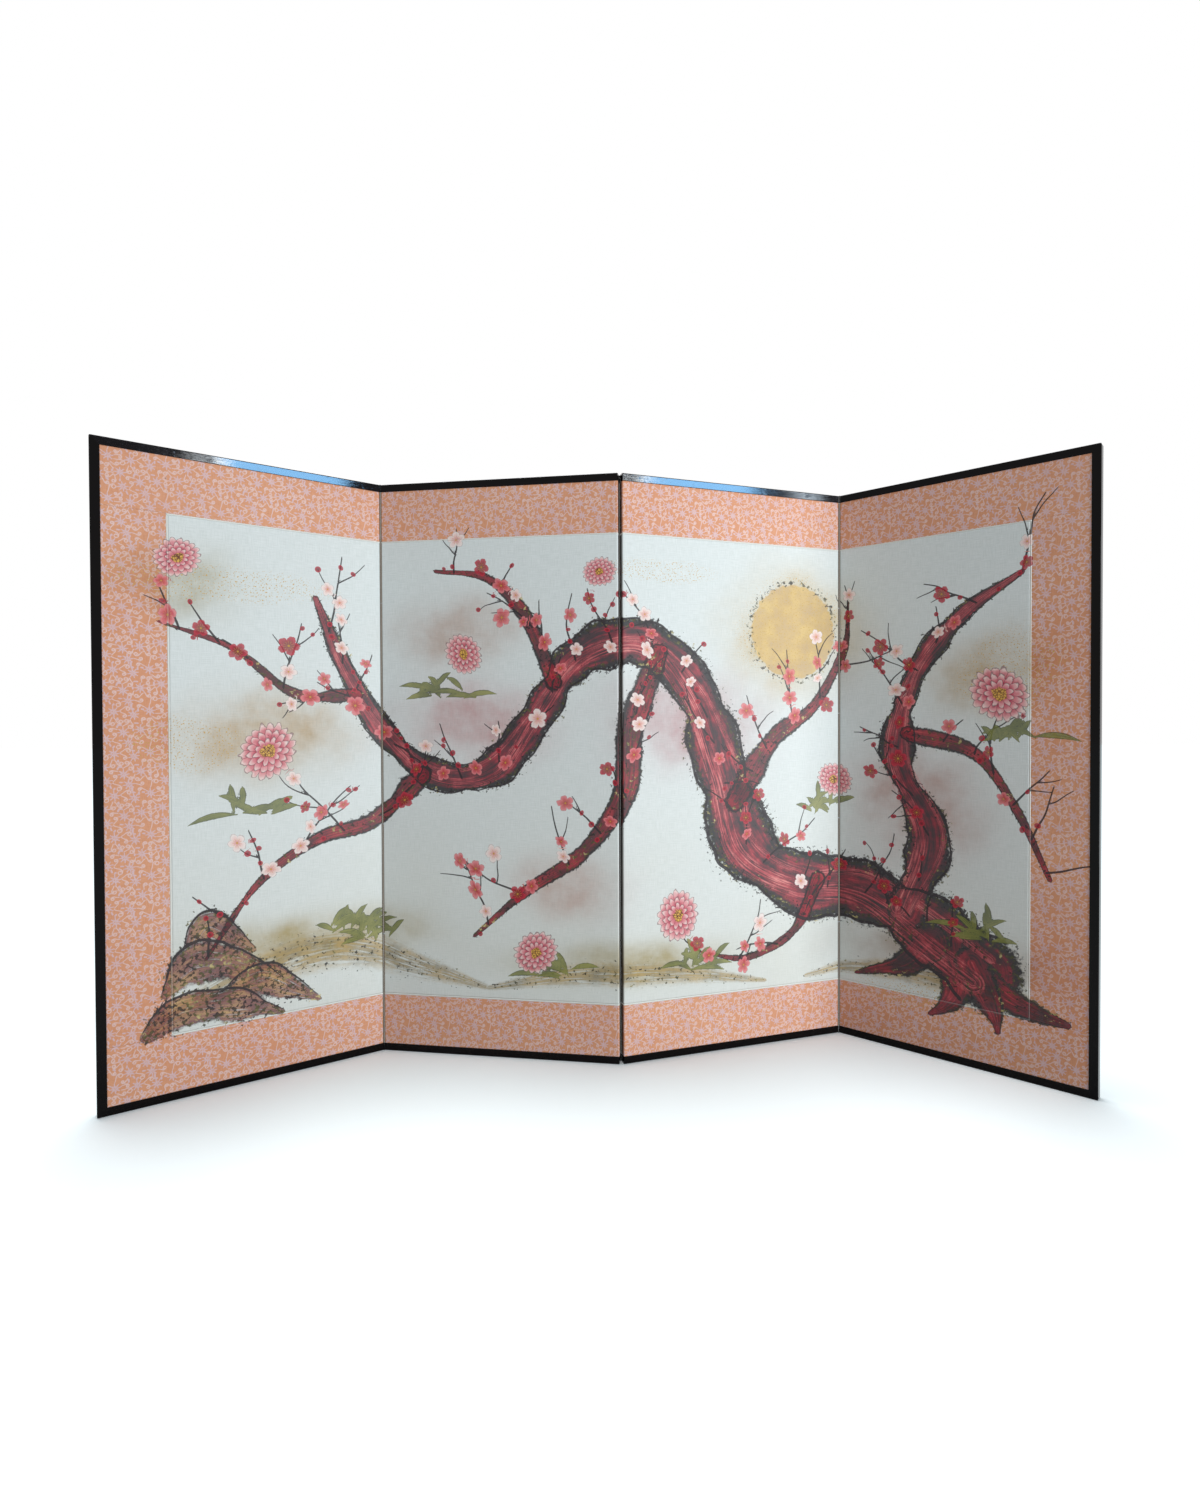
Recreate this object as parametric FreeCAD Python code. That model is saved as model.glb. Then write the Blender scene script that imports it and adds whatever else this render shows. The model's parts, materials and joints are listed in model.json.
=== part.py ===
import FreeCAD, Part
import math
import os

# Byobu folding screen of four panels, standing in its zigzag.
# Units are millimetres. X runs along the screen to the viewer's right, Y runs
# away from the viewer and Z is up. The origin is on the floor, under the
# centre of the box round the zigzag.
#
# Each panel is a light cedar sub-frame filled with a half-lapped lattice,
# papered on both faces, covered with silk and brocade in front and printed
# paper behind, and held top and bottom by lacquered rails on bamboo nails.
# The panels are joined by paper strips that cross the fold alternately.

# Driving sizes of the whole screen
panel_height = 914.0
panel_pitch = 387.0             # from one fold line to the next
frame_depth = 15.0              # lacquered members, front to back
frame_face = 11.8               # lacquered members, seen from the front
brocade_height = 79.5           # border above and below the painting
brocade_width = 76.0            # border beside the painting, outer panels
fillet_width = 2.1              # pale line between painting and brocade

# Direction of each panel seen from above, in degrees from X
panel_angles = (33.5, -10.5, 17.0, -42.0)
# Folds 1 and 3 close front to front, fold 2 closes back to back
fold_is_front = (True, False, True)

# Layers of a panel, from the outside in
frame_stands_proud = 0.8        # lacquer frame above the textile face
textile_thickness = 0.5
fillet_stands_proud = 0.1
hinge_paper_thickness = 0.3
under_paper_thickness = 0.9
edge_radius = 2.5               # rounding of the covered fold edges
edge_flat_count = 2             # planed flats that make up that rounding

# Clearances at the folds
fold_clearance = 0.25           # covered edge to the fold line, along the panel
pivot_clearance = 0.2           # frame face to the fold line, across the panel
lip_clearance = 0.1             # paper to the fold line that it crosses at
outer_end_clearance = 0.5       # outer stile to the next fold when stacked

# Cedar sub-frame
core_stile_width = 20.0
core_rail_height = 20.0
core_tenon_length = 10.0
core_tenon_height_share = 0.6
tenon_depth_share = 0.5

# Cedar lattice
upright_count = 2
crossbar_count = 7
bar_width = 12.0
stub_length = 5.0
joint_clearance = 0.05
mortise_end_clearance = 0.3

# Paper hinges
hinge_strip_count = 5
hinge_tab_width = 36.0
hinge_strip_gap = 1.5

# Bamboo nails between lacquer frame and core
nail_side = 2.4                 # square section
nail_tip = 3.0                  # length of the point at each end
nail_in_frame = 7.0
nail_in_core = 11.0
nail_hole_clearance = 0.05
nail_end_clearance = 0.2
nails_per_rail = 3
nails_per_stile = 5

# Lacquered members
outer_edge_radius = 1.5
inner_edge_chamfer = 0.4
outer_corner_radius = 2.0
outer_corner_flat_count = 2
rail_end_chamfer = 0.8

# Ways to turn a corner of an outline, besides some other number of flats
arc = None
planed_count = 1

# Sizes that follow
panel_count = len(panel_angles)
skin_front = frame_stands_proud
skin_back = frame_depth - frame_stands_proud
hinge_inset = textile_thickness + hinge_paper_thickness
core_front = skin_front + textile_thickness + under_paper_thickness
core_back = frame_depth - core_front
core_depth = core_back - core_front
core_middle = (core_front + core_back) / 2
tenon_depth = core_depth * tenon_depth_share
blank_bottom = frame_face
blank_top = panel_height - frame_face
painting_bottom = blank_bottom + brocade_height
painting_top = blank_top - brocade_height
silk_bottom = painting_bottom + fillet_width
silk_top = painting_top - fillet_width
front_pivot = -pivot_clearance
back_pivot = frame_depth + pivot_clearance


# Small shape helpers; every panel is built lying along X with its front at Y 0

def box(x0, x1, y0, y1, z0, z1):
    corner = FreeCAD.Vector(x0, y0, z0)
    return Part.makeBox(x1 - x0, y1 - y0, z1 - z0, corner)


def corner_turns(corner, steps):
    """Directions from a corner's centre, in equal steps through its quarter."""
    quarter = math.pi / 2
    return [quarter * (2 + corner + step / steps) for step in range(steps + 1)]


def outline(a0, a1, b0, b1, radii, flat_counts, point):
    """Closed wire round a rectangle; its corners run a0b0, a1b0, a1b1, a0b1.

    Each corner has its radius, and is one arc or its number of flats.
    """
    corners = ((a0, b0, 1, 1), (a1, b0, -1, 1), (a1, b1, -1, -1), (a0, b1, 1, -1))
    runs = []
    for corner, ((a, b, sa, sb), radius) in enumerate(zip(corners, radii)):
        centre_a, centre_b = a + sa * radius, b + sb * radius
        turns = corner_turns(corner, flat_counts[corner] or 2) if radius > 0 else [0]
        runs.append([point(centre_a + radius * math.cos(turn), centre_b + radius * math.sin(turn))
                     for turn in turns])
    edges = []
    for corner, run in enumerate(runs):
        if len(run) > 1 and flat_counts[corner] is arc:
            edges.append(Part.Arc(*run).toShape())
        else:
            edges += [Part.makeLine(start, end) for start, end in zip(run, run[1:])]
        edges.append(Part.makeLine(run[-1], runs[(corner + 1) % len(runs)][0]))
    return Part.Wire(edges)


def plan_prism(x0, x1, y0, y1, radii, flat_counts, z0, z1):
    wire = outline(x0, x1, y0, y1, radii, flat_counts, lambda a, b: FreeCAD.Vector(a, b, z0))
    return Part.Face(wire).extrude(FreeCAD.Vector(0, 0, z1 - z0))


def front_prism(x0, x1, z0, z1, radii, flat_counts, y0, y1):
    wire = outline(x0, x1, z0, z1, radii, flat_counts, lambda a, b: FreeCAD.Vector(a, y0, b))
    return Part.Face(wire).extrude(FreeCAD.Vector(0, y1 - y0, 0))


def section_prism(y0, y1, z0, z1, radii, flat_counts, x0, x1):
    wire = outline(y0, y1, z0, z1, radii, flat_counts, lambda a, b: FreeCAD.Vector(x0, a, b))
    return Part.Face(wire).extrude(FreeCAD.Vector(x1 - x0, 0, 0))


def cut_all(shape, tools):
    return shape.cut(tools) if tools else shape


def spaced(first, last, count):
    """Centres of count members that share the span with equal gaps."""
    step = (last - first) / (count + 1)
    return [first + step * (index + 1) for index in range(count)]


class Panel:
    """Places along one panel: its ends, covered edges and core."""

    def __init__(self, number):
        self.number = number
        self.left_fold = number > 1
        self.right_fold = number < panel_count
        self.left_end = fold_clearance if self.left_fold else outer_end_clearance
        end = fold_clearance if self.right_fold else outer_end_clearance
        self.right_end = panel_pitch - end
        stile = frame_face
        self.blank_left = self.left_end + (0 if self.left_fold else stile)
        self.blank_right = self.right_end - (0 if self.right_fold else stile)
        self.core_left = self.blank_left + (hinge_inset if self.left_fold else 0)
        self.core_right = self.blank_right - (hinge_inset if self.right_fold else 0)
        self.inner_left = self.core_left + core_stile_width
        self.inner_right = self.core_right - core_stile_width
        border = brocade_width
        self.border_left = self.blank_left + (0 if self.left_fold else border)
        self.border_right = self.blank_right - (0 if self.right_fold else border)
        line = fillet_width
        self.silk_left = self.border_left + (0 if self.left_fold else line)
        self.silk_right = self.border_right - (0 if self.right_fold else line)
        self.inner_bottom = blank_bottom + core_rail_height
        self.inner_top = blank_top - core_rail_height
        self.uprights = spaced(self.inner_left, self.inner_right, upright_count)
        self.crossbars = spaced(self.inner_bottom, self.inner_top, crossbar_count)

    def blank(self, inset, z0, z1):
        """The papered board, shrunk by inset on its faces and fold edges."""
        left = inset if self.left_fold else 0
        right = inset if self.right_fold else 0
        radius = max(edge_radius - inset, 0)
        left_radius = radius if self.left_fold else 0
        right_radius = radius if self.right_fold else 0
        radii = (left_radius, right_radius, right_radius, left_radius)
        flat_counts = (edge_flat_count,) * len(radii)
        return plan_prism(self.blank_left + left, self.blank_right - right,
                          skin_front + inset, skin_back - inset, radii, flat_counts, z0, z1)

    def pivot(self, right_side):
        fold = self.number - 1 if right_side else self.number - 2
        x = panel_pitch if right_side else 0
        return FreeCAD.Vector(x, fold_depth(fold), 0)

    def corner_centre(self, right_side):
        """Centre of the rounded edge that lies at the fold line."""
        fold = self.number - 1 if right_side else self.number - 2
        x = self.blank_right - edge_radius if right_side else self.blank_left + edge_radius
        y = skin_front + edge_radius if fold_is_front[fold] else skin_back - edge_radius
        return FreeCAD.Vector(x, y, 0)

    def seam_path(self, right_side):
        """Line in plan between front textile and back paper, from the middle outwards."""
        is_fold = self.right_fold if right_side else self.left_fold
        far = panel_pitch + frame_depth if right_side else -frame_depth
        if not is_fold:
            return [(far, core_middle)]
        centre, pivot = self.corner_centre(right_side), self.pivot(right_side)
        beyond = pivot + (pivot - centre)
        return [(centre.x, core_middle), (centre.x, centre.y),
                (beyond.x, beyond.y), (far, beyond.y)]

    def back_region(self, z0, z1):
        """Everything behind that line; the fold edges go with the open side."""
        far_left, far_right = -frame_depth, panel_pitch + frame_depth
        path = self.seam_path(False)[::-1] + self.seam_path(True)
        path += [(far_right, 2 * frame_depth), (far_left, 2 * frame_depth)]
        vectors = [FreeCAD.Vector(a, b, z0) for a, b in path + path[:1]]
        face = Part.Face(Part.makePolygon(vectors))
        return face.extrude(FreeCAD.Vector(0, 0, z1 - z0))

    def skin_shell(self, outset, z0, z1):
        return self.blank(-outset, z0, z1).cut(self.blank(textile_thickness, z0, z1))

    def front_skin(self, outset, x0, x1, z0, z1):
        """Textile on the front that turns round the fold edges."""
        shell = self.skin_shell(outset, z0, z1).cut(self.back_region(z0, z1))
        left = x0 - frame_depth if x0 <= self.blank_left else x0
        right = x1 + frame_depth if x1 >= self.blank_right else x1
        region = box(left, right, -frame_depth, 2 * frame_depth, z0, z1)
        return cut_all(shell.common(region), self.lips(z0, z1))

    def back_skin(self):
        z0, z1 = blank_bottom, blank_top
        shell = self.skin_shell(0, z0, z1).common(self.back_region(z0, z1))
        return cut_all(shell, self.lips(z0, z1))

    def lips(self, z0, z1):
        sides = [side for side, fold in ((False, self.left_fold), (True, self.right_fold)) if fold]
        return [hinge_lip(self, side, z0, z1) for side in sides]


# Lacquered frame

def mitre(panel, z_outer, z_inner, left):
    """Wedge that holds all of a rail on its own side of the corner joint."""
    end = panel.left_end if left else panel.right_end
    seam = panel.blank_left if left else panel.blank_right
    points = [(end, z_outer), (seam, z_inner), (end, z_inner)]
    vectors = [FreeCAD.Vector(a, 0, b) for a, b in points + points[:1]]
    face = Part.Face(Part.makePolygon(vectors))
    return face.extrude(FreeCAD.Vector(0, frame_depth, 0))


def rail(panel, top):
    low = blank_top if top else 0
    high = panel_height if top else frame_face
    inner, outer = (inner_edge_chamfer,) * 2, (outer_edge_radius,) * 2
    radii = inner + outer if top else outer + inner
    flat_counts = (planed_count, planed_count, arc, arc) if top else (arc, arc, planed_count, planed_count)
    solid = section_prism(0, frame_depth, low, high, radii, flat_counts,
                          panel.left_end, panel.right_end)
    left_end = rail_end_chamfer if panel.left_fold else 0
    right_end = rail_end_chamfer if panel.right_fold else 0
    ends = plan_prism(panel.left_end, panel.right_end, 0, frame_depth,
                      (left_end, right_end, right_end, left_end), (planed_count,) * 4, low, high)
    solid = solid.common(ends)
    if not (panel.left_fold and panel.right_fold):
        solid = solid.common(corner_blank(panel))
        z_outer = high if top else low
        z_inner = low if top else high
        solid = solid.cut(mitre(panel, z_outer, z_inner, not panel.left_fold))
    return cut_all(solid, rail_nail_holes(panel, top))


def corner_blank(panel):
    left = 0 if panel.left_fold else outer_corner_radius
    right = 0 if panel.right_fold else outer_corner_radius
    radii = (left, right, right, left)
    flat_counts = (outer_corner_flat_count,) * len(radii)
    return front_prism(panel.left_end, panel.right_end, 0, panel_height, radii, flat_counts,
                       0, frame_depth)


def mitred_blank(x0, x1, left):
    """Stile blank with both ends cut on the mitre, long on its outer side."""
    low_inner, top_inner = frame_face, blank_top
    outer_x, inner_x = (x0, x1) if left else (x1, x0)
    points = [(outer_x, 0), (inner_x, low_inner), (inner_x, top_inner), (outer_x, panel_height)]
    vectors = [FreeCAD.Vector(a, 0, b) for a, b in points + points[:1]]
    face = Part.Face(Part.makePolygon(vectors))
    return face.extrude(FreeCAD.Vector(0, frame_depth, 0))


def outer_stile(panel):
    left = not panel.left_fold
    x0 = panel.left_end if left else panel.blank_right
    x1 = panel.blank_left if left else panel.right_end
    inner, outer = inner_edge_chamfer, outer_edge_radius
    radii = (outer, inner, inner, outer) if left else (inner, outer, outer, inner)
    flat_counts = (arc, planed_count, planed_count, arc) if left else (planed_count, arc, arc, planed_count)
    solid = plan_prism(x0, x1, 0, frame_depth, radii, flat_counts, 0, panel_height)
    solid = solid.common(corner_blank(panel)).common(mitred_blank(x0, x1, left))
    return cut_all(solid, stile_nail_holes(panel))


# Bamboo nails: whittled square, pointed at both ends, one end in the frame
# and the other in the core

def pointed_bar(half, length, tip):
    """Square bar that rises from the origin, with a pyramid at each end."""
    side = ((0, 0), (half, tip), (half, length - tip),
            (0, length), (-half, length - tip), (-half, tip))
    across_x = [FreeCAD.Vector(a, -half, z) for a, z in side + side[:1]]
    across_y = [FreeCAD.Vector(-half, a, z) for a, z in side + side[:1]]
    deep = Part.Face(Part.makePolygon(across_x)).extrude(FreeCAD.Vector(0, 2 * half, 0))
    wide = Part.Face(Part.makePolygon(across_y)).extrude(FreeCAD.Vector(2 * half, 0, 0))
    return deep.common(wide)


def nail(x, z, lies_along_x, before, extra_side, extra_end):
    """One nail, or with extra its hole; before is what lies ahead of the seam."""
    length = nail_in_core + nail_in_frame + 2 * extra_end
    bar = pointed_bar(nail_side / 2 + extra_side, length, nail_tip + extra_end)
    reach = before + extra_end
    if lies_along_x:
        start = FreeCAD.Vector(x - reach, core_middle, z)
        turn = FreeCAD.Rotation(FreeCAD.Vector(0, 0, 1), FreeCAD.Vector(1, 0, 0))
    else:
        start = FreeCAD.Vector(x, core_middle, z - reach)
        turn = FreeCAD.Rotation()
    bar.Placement = FreeCAD.Placement(start, turn)
    return bar


def rail_nail_places(panel):
    return spaced(panel.core_left, panel.core_right, nails_per_rail)


def stile_nail_places(panel):
    return spaced(panel.inner_bottom, panel.inner_top, nails_per_stile)


def rail_nail(panel, x, top, extra_side, extra_end):
    seam = blank_top if top else blank_bottom
    before = nail_in_core if top else nail_in_frame
    return nail(x, seam, False, before, extra_side, extra_end)


def stile_nail(panel, z, extra_side, extra_end):
    left = not panel.left_fold
    seam = panel.blank_left if left else panel.blank_right
    before = nail_in_frame if left else nail_in_core
    return nail(seam, z, True, before, extra_side, extra_end)


def rail_nail_holes(panel, top):
    clear, end = nail_hole_clearance, nail_end_clearance
    return [rail_nail(panel, x, top, clear, end) for x in rail_nail_places(panel)]


def stile_nail_holes(panel):
    clear, end = nail_hole_clearance, nail_end_clearance
    return [stile_nail(panel, z, clear, end) for z in stile_nail_places(panel)]


def bamboo_nails(panel):
    nails = [rail_nail(panel, x, top, 0, 0)
             for top in (False, True) for x in rail_nail_places(panel)]
    if not (panel.left_fold and panel.right_fold):
        nails += [stile_nail(panel, z, 0, 0) for z in stile_nail_places(panel)]
    return Part.makeCompound(nails)


# Cedar core: stiles with mortises, rails with tenons, half-lapped lattice

def tongue(x0, x1, z0, z1, depth, extra):
    """Tenon, or with extra its mortise, on the middle of the core."""
    half = depth / 2
    return box(x0, x1, core_middle - half - extra, core_middle + half + extra,
               z0 - extra, z1 + extra)


def core_rail_tongues(panel, left, extra, end_extra):
    tongues = []
    height = core_rail_height * core_tenon_height_share
    shift = (core_rail_height - height) / 2
    for low in (blank_bottom + shift, panel.inner_top + shift):
        if left:
            x0, x1 = panel.inner_left - core_tenon_length - end_extra, panel.inner_left
        else:
            x0, x1 = panel.inner_right, panel.inner_right + core_tenon_length + end_extra
        tongues.append(tongue(x0, x1, low, low + height, tenon_depth, extra))
    return tongues


def crossbar_stubs(panel, left, extra, end_extra):
    stubs = []
    for z in panel.crossbars:
        if left:
            x0, x1 = panel.inner_left - stub_length - end_extra, panel.inner_left
        else:
            x0, x1 = panel.inner_right, panel.inner_right + stub_length + end_extra
        stubs.append(tongue(x0, x1, z - bar_width / 2, z + bar_width / 2, tenon_depth, extra))
    return stubs


def upright_stubs(panel, low, extra, end_extra):
    stubs = []
    for x in panel.uprights:
        if low:
            z0, z1 = panel.inner_bottom - stub_length - end_extra, panel.inner_bottom
        else:
            z0, z1 = panel.inner_top, panel.inner_top + stub_length + end_extra
        half = tenon_depth / 2 + extra
        stubs.append(box(x - bar_width / 2 - extra, x + bar_width / 2 + extra,
                         core_middle - half, core_middle + half, z0, z1))
    return stubs


def core_stile(panel, left):
    x0 = panel.core_left if left else panel.inner_right
    x1 = panel.inner_left if left else panel.core_right
    solid = box(x0, x1, core_front, core_back, blank_bottom, blank_top)
    solid = solid.common(panel.blank(hinge_inset, blank_bottom, blank_top))
    tools = core_rail_tongues(panel, left, joint_clearance, mortise_end_clearance)
    tools += crossbar_stubs(panel, left, joint_clearance, mortise_end_clearance)
    outer_side = not (panel.left_fold if left else panel.right_fold)
    if outer_side:
        tools += stile_nail_holes(panel)
    return cut_all(solid, tools)


def core_rails(panel):
    solids = []
    for top in (False, True):
        z0 = panel.inner_top if top else blank_bottom
        solid = box(panel.inner_left, panel.inner_right, core_front, core_back,
                    z0, z0 + core_rail_height)
        side = 1 if top else 0
        tongues = [core_rail_tongues(panel, left, 0, 0)[side] for left in (True, False)]
        solid = solid.fuse(tongues).removeSplitter()
        tools = upright_stubs(panel, not top, joint_clearance, mortise_end_clearance)
        tools += rail_nail_holes(panel, top)
        solids.append(cut_all(solid, tools))
    return Part.makeCompound(solids)


def lap_is_front(column, row):
    """Laps alternate, so that the bars pass over and under like a weave."""
    return (column + row) % 2 == 0


def lap(x, z, front, wide_x, wide_z):
    y0 = core_front if front else core_middle - joint_clearance
    y1 = core_middle + joint_clearance if front else core_back
    return box(x - wide_x / 2, x + wide_x / 2, y0, y1, z - wide_z / 2, z + wide_z / 2)


def lattice_uprights(panel):
    solids = []
    low_stubs = upright_stubs(panel, True, 0, 0)
    top_stubs = upright_stubs(panel, False, 0, 0)
    width = bar_width + 2 * joint_clearance
    for column, x in enumerate(panel.uprights):
        solid = box(x - bar_width / 2, x + bar_width / 2, core_front, core_back,
                    panel.inner_bottom, panel.inner_top)
        solid = solid.fuse([low_stubs[column], top_stubs[column]]).removeSplitter()
        laps = [lap(x, z, lap_is_front(column, row), width, width)
                for row, z in enumerate(panel.crossbars)]
        solids.append(solid.cut(laps))
    return Part.makeCompound(solids)


def lattice_crossbars(panel):
    solids = []
    left_stubs = crossbar_stubs(panel, True, 0, 0)
    right_stubs = crossbar_stubs(panel, False, 0, 0)
    width = bar_width + 2 * joint_clearance
    for row, z in enumerate(panel.crossbars):
        solid = box(panel.inner_left, panel.inner_right, core_front, core_back,
                    z - bar_width / 2, z + bar_width / 2)
        solid = solid.fuse([left_stubs[row], right_stubs[row]]).removeSplitter()
        laps = [lap(x, z, not lap_is_front(column, row), width, width)
                for column, x in enumerate(panel.uprights)]
        solids.append(solid.cut(laps))
    return Part.makeCompound(solids)


# Paper hinges: even strips run from the left panel's front to the right
# panel's back, odd strips the other way, so that the strips cross at the fold

def hinge_lip(panel, right_side, z0, z1):
    """Paper that leaves the rounded edge and narrows to its crease at the fold."""
    centre, pivot = panel.corner_centre(right_side), panel.pivot(right_side)
    outward = (pivot - centre).normalize()
    across = FreeCAD.Vector(-outward.y, outward.x, 0)
    root, tip = across * (hinge_paper_thickness / 2), across * (lip_clearance / 2)
    start = centre + outward * (edge_radius - hinge_inset)
    end = pivot - outward * lip_clearance
    points = [start - root, end - tip, end + tip, start + root]
    lift = FreeCAD.Vector(0, 0, z0)
    face = Part.Face(Part.makePolygon([p + lift for p in points + points[:1]]))
    solid = face.extrude(FreeCAD.Vector(0, 0, z1 - z0))
    return solid.cut(panel.blank(hinge_inset, z0, z1))


def hinge_strip(panel, right_side, tab_is_front, wraps, z0, z1):
    """One half of a strip: pasted tab, edge covering where it has one, and lip."""
    edge_x = panel.blank_right if right_side else panel.blank_left
    inward = -1 if right_side else 1
    tab_x = sorted((edge_x, edge_x + inward * hinge_tab_width))
    band_x = sorted((edge_x, edge_x + inward * edge_radius))
    if tab_is_front:
        tab_y = (skin_front, skin_front + edge_radius)
    else:
        tab_y = (skin_back - edge_radius, skin_back)
    region = box(tab_x[0], tab_x[1], tab_y[0], tab_y[1], z0, z1)
    if wraps:
        region = region.fuse(box(band_x[0], band_x[1], skin_front, skin_back, z0, z1))
    shell = panel.blank(textile_thickness, z0, z1).cut(panel.blank(hinge_inset, z0, z1))
    strip = shell.common(region).fuse(hinge_lip(panel, right_side, z0, z1))
    return strip.removeSplitter()


def hinge_strips(panel, right_side):
    fold = panel.number - 1 if right_side else panel.number - 2
    pitch = (blank_top - blank_bottom) / hinge_strip_count
    strips = []
    for index in range(hinge_strip_count):
        z0 = blank_bottom + pitch * index + hinge_strip_gap / 2
        z1 = blank_bottom + pitch * (index + 1) - hinge_strip_gap / 2
        tab_is_front = (index % 2 == 0) == right_side
        wraps = tab_is_front != fold_is_front[fold]
        strips.append(hinge_strip(panel, right_side, tab_is_front, wraps, z0, z1))
    return Part.makeCompound(strips)


def panel_hinges(panel):
    sides = []
    if panel.left_fold:
        sides.append(("fold_%d_hinge_strips_right" % (panel.number - 1), False))
    if panel.right_fold:
        sides.append(("fold_%d_hinge_strips_left" % panel.number, True))
    return {name: hinge_strips(panel, side) for name, side in sides}


# Papers and textiles

def under_papers(panel, hinges):
    board = panel.blank(textile_thickness, blank_bottom, blank_top)
    plates = []
    for y0, y1 in ((skin_front, core_front), (core_back, skin_back)):
        region = box(panel.core_left, panel.core_right, y0, y1, blank_bottom, blank_top)
        plates.append(cut_all(board.common(region), hinges))
    return Part.makeCompound(plates)


def brocade_border(panel):
    left, right = panel.blank_left, panel.blank_right
    strips = [panel.front_skin(0, left, right, blank_bottom, painting_bottom),
              panel.front_skin(0, left, right, painting_top, blank_top)]
    if not panel.left_fold:
        strips.append(panel.front_skin(0, left, panel.border_left,
                                       painting_bottom, painting_top))
    if not panel.right_fold:
        strips.append(panel.front_skin(0, panel.border_right, right,
                                       painting_bottom, painting_top))
    return Part.makeCompound(strips)


def pale_fillet(panel):
    out = fillet_stands_proud
    left, right = panel.border_left, panel.border_right
    strips = [panel.front_skin(out, left, right, painting_bottom, silk_bottom),
              panel.front_skin(out, left, right, silk_top, painting_top)]
    if not panel.left_fold:
        strips.append(panel.front_skin(out, left, panel.silk_left, silk_bottom, silk_top))
    if not panel.right_fold:
        strips.append(panel.front_skin(out, panel.silk_right, right, silk_bottom, silk_top))
    return Part.makeCompound(strips)


def painting_silk(panel):
    return panel.front_skin(0, panel.silk_left, panel.silk_right, silk_bottom, silk_top)


# Where each panel stands

def direction(angle):
    turn = math.radians(angle)
    along = FreeCAD.Vector(math.cos(turn), math.sin(turn), 0)
    deep = FreeCAD.Vector(-math.sin(turn), math.cos(turn), 0)
    return along, deep


def fold_depth(fold):
    return front_pivot if fold_is_front[fold] else back_pivot


def raw_origins():
    """Front left corner of each panel, with panel 1 at zero."""
    origins = [FreeCAD.Vector(0, 0, 0)]
    for fold in range(panel_count - 1):
        along, deep = direction(panel_angles[fold])
        pivot = origins[fold] + along * panel_pitch + deep * fold_depth(fold)
        next_deep = direction(panel_angles[fold + 1])[1]
        origins.append(pivot - next_deep * fold_depth(fold))
    return origins


def plan_corners(panel):
    """Centres and radii that bound a panel's four corners in its own plan."""
    corners = []
    for x, inward, is_fold in ((panel.left_end, 1, panel.left_fold),
                               (panel.right_end, -1, panel.right_fold)):
        for y, into in ((0, 1), (frame_depth, -1)):
            if is_fold:
                corners.append((x + inward * rail_end_chamfer, y, 0))
                corners.append((x, y + into * rail_end_chamfer, 0))
            else:
                radius = outer_edge_radius
                corners.append((x + inward * radius, y + into * radius, radius))
    return corners


def panel_placements(panels):
    origins = raw_origins()
    lows_x, highs_x, lows_y, highs_y = [], [], [], []
    for panel, origin, angle in zip(panels, origins, panel_angles):
        along, deep = direction(angle)
        for x, y, radius in plan_corners(panel):
            centre = origin + along * x + deep * y
            lows_x.append(centre.x - radius)
            highs_x.append(centre.x + radius)
            lows_y.append(centre.y - radius)
            highs_y.append(centre.y + radius)
    middle = FreeCAD.Vector((min(lows_x) + max(highs_x)) / 2,
                            (min(lows_y) + max(highs_y)) / 2, 0)
    upright = FreeCAD.Vector(0, 0, 1)
    return [FreeCAD.Placement(origin - middle, FreeCAD.Rotation(upright, angle))
            for origin, angle in zip(origins, panel_angles)]


def fold_pivots(placements):
    """Points on the floor through which the fold lines rise."""
    points = []
    for fold in range(panel_count - 1):
        local = FreeCAD.Vector(panel_pitch, fold_depth(fold), 0)
        points.append(placements[fold].multVec(local))
    return points


# Assembly

def build_panel(panel):
    hinges = panel_hinges(panel)
    prefix = "panel_%d_" % panel.number
    pieces = {
        prefix + "core_left_stile": core_stile(panel, True),
        prefix + "core_right_stile": core_stile(panel, False),
        prefix + "core_rails": core_rails(panel),
        prefix + "lattice_uprights": lattice_uprights(panel),
        prefix + "lattice_crossbars": lattice_crossbars(panel),
        prefix + "under_papers": under_papers(panel, list(hinges.values())),
        prefix + "painting_silk": painting_silk(panel),
        prefix + "brocade_border": brocade_border(panel),
        prefix + "pale_fillet": pale_fillet(panel),
        prefix + "back_paper": panel.back_skin(),
        prefix + "top_rail": rail(panel, True),
        prefix + "bottom_rail": rail(panel, False),
        prefix + "bamboo_nails": bamboo_nails(panel),
    }
    if not (panel.left_fold and panel.right_fold):
        pieces[prefix + "outer_stile"] = outer_stile(panel)
    pieces.update(hinges)
    return pieces


def main():
    os.makedirs("parts", exist_ok=True)
    panels = [Panel(index + 1) for index in range(panel_count)]
    placements = panel_placements(panels)
    for panel, placement in zip(panels, placements):
        for name, shape in build_panel(panel).items():
            shape.Placement = placement.multiply(shape.Placement)
            shape.exportStep("parts/%s.step" % name)
    for number, point in enumerate(fold_pivots(placements)):
        print("fold_%d line at x %.4f y %.4f" % (number + 1, point.x, point.y))
    for number, placement in enumerate(placements):
        base = placement.Base
        print("panel_%d origin at x %.4f y %.4f" % (number + 1, base.x, base.y))


main()
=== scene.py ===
import json
import math
import bpy
import numpy as np
from mathutils import Matrix, Vector, geometry

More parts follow.
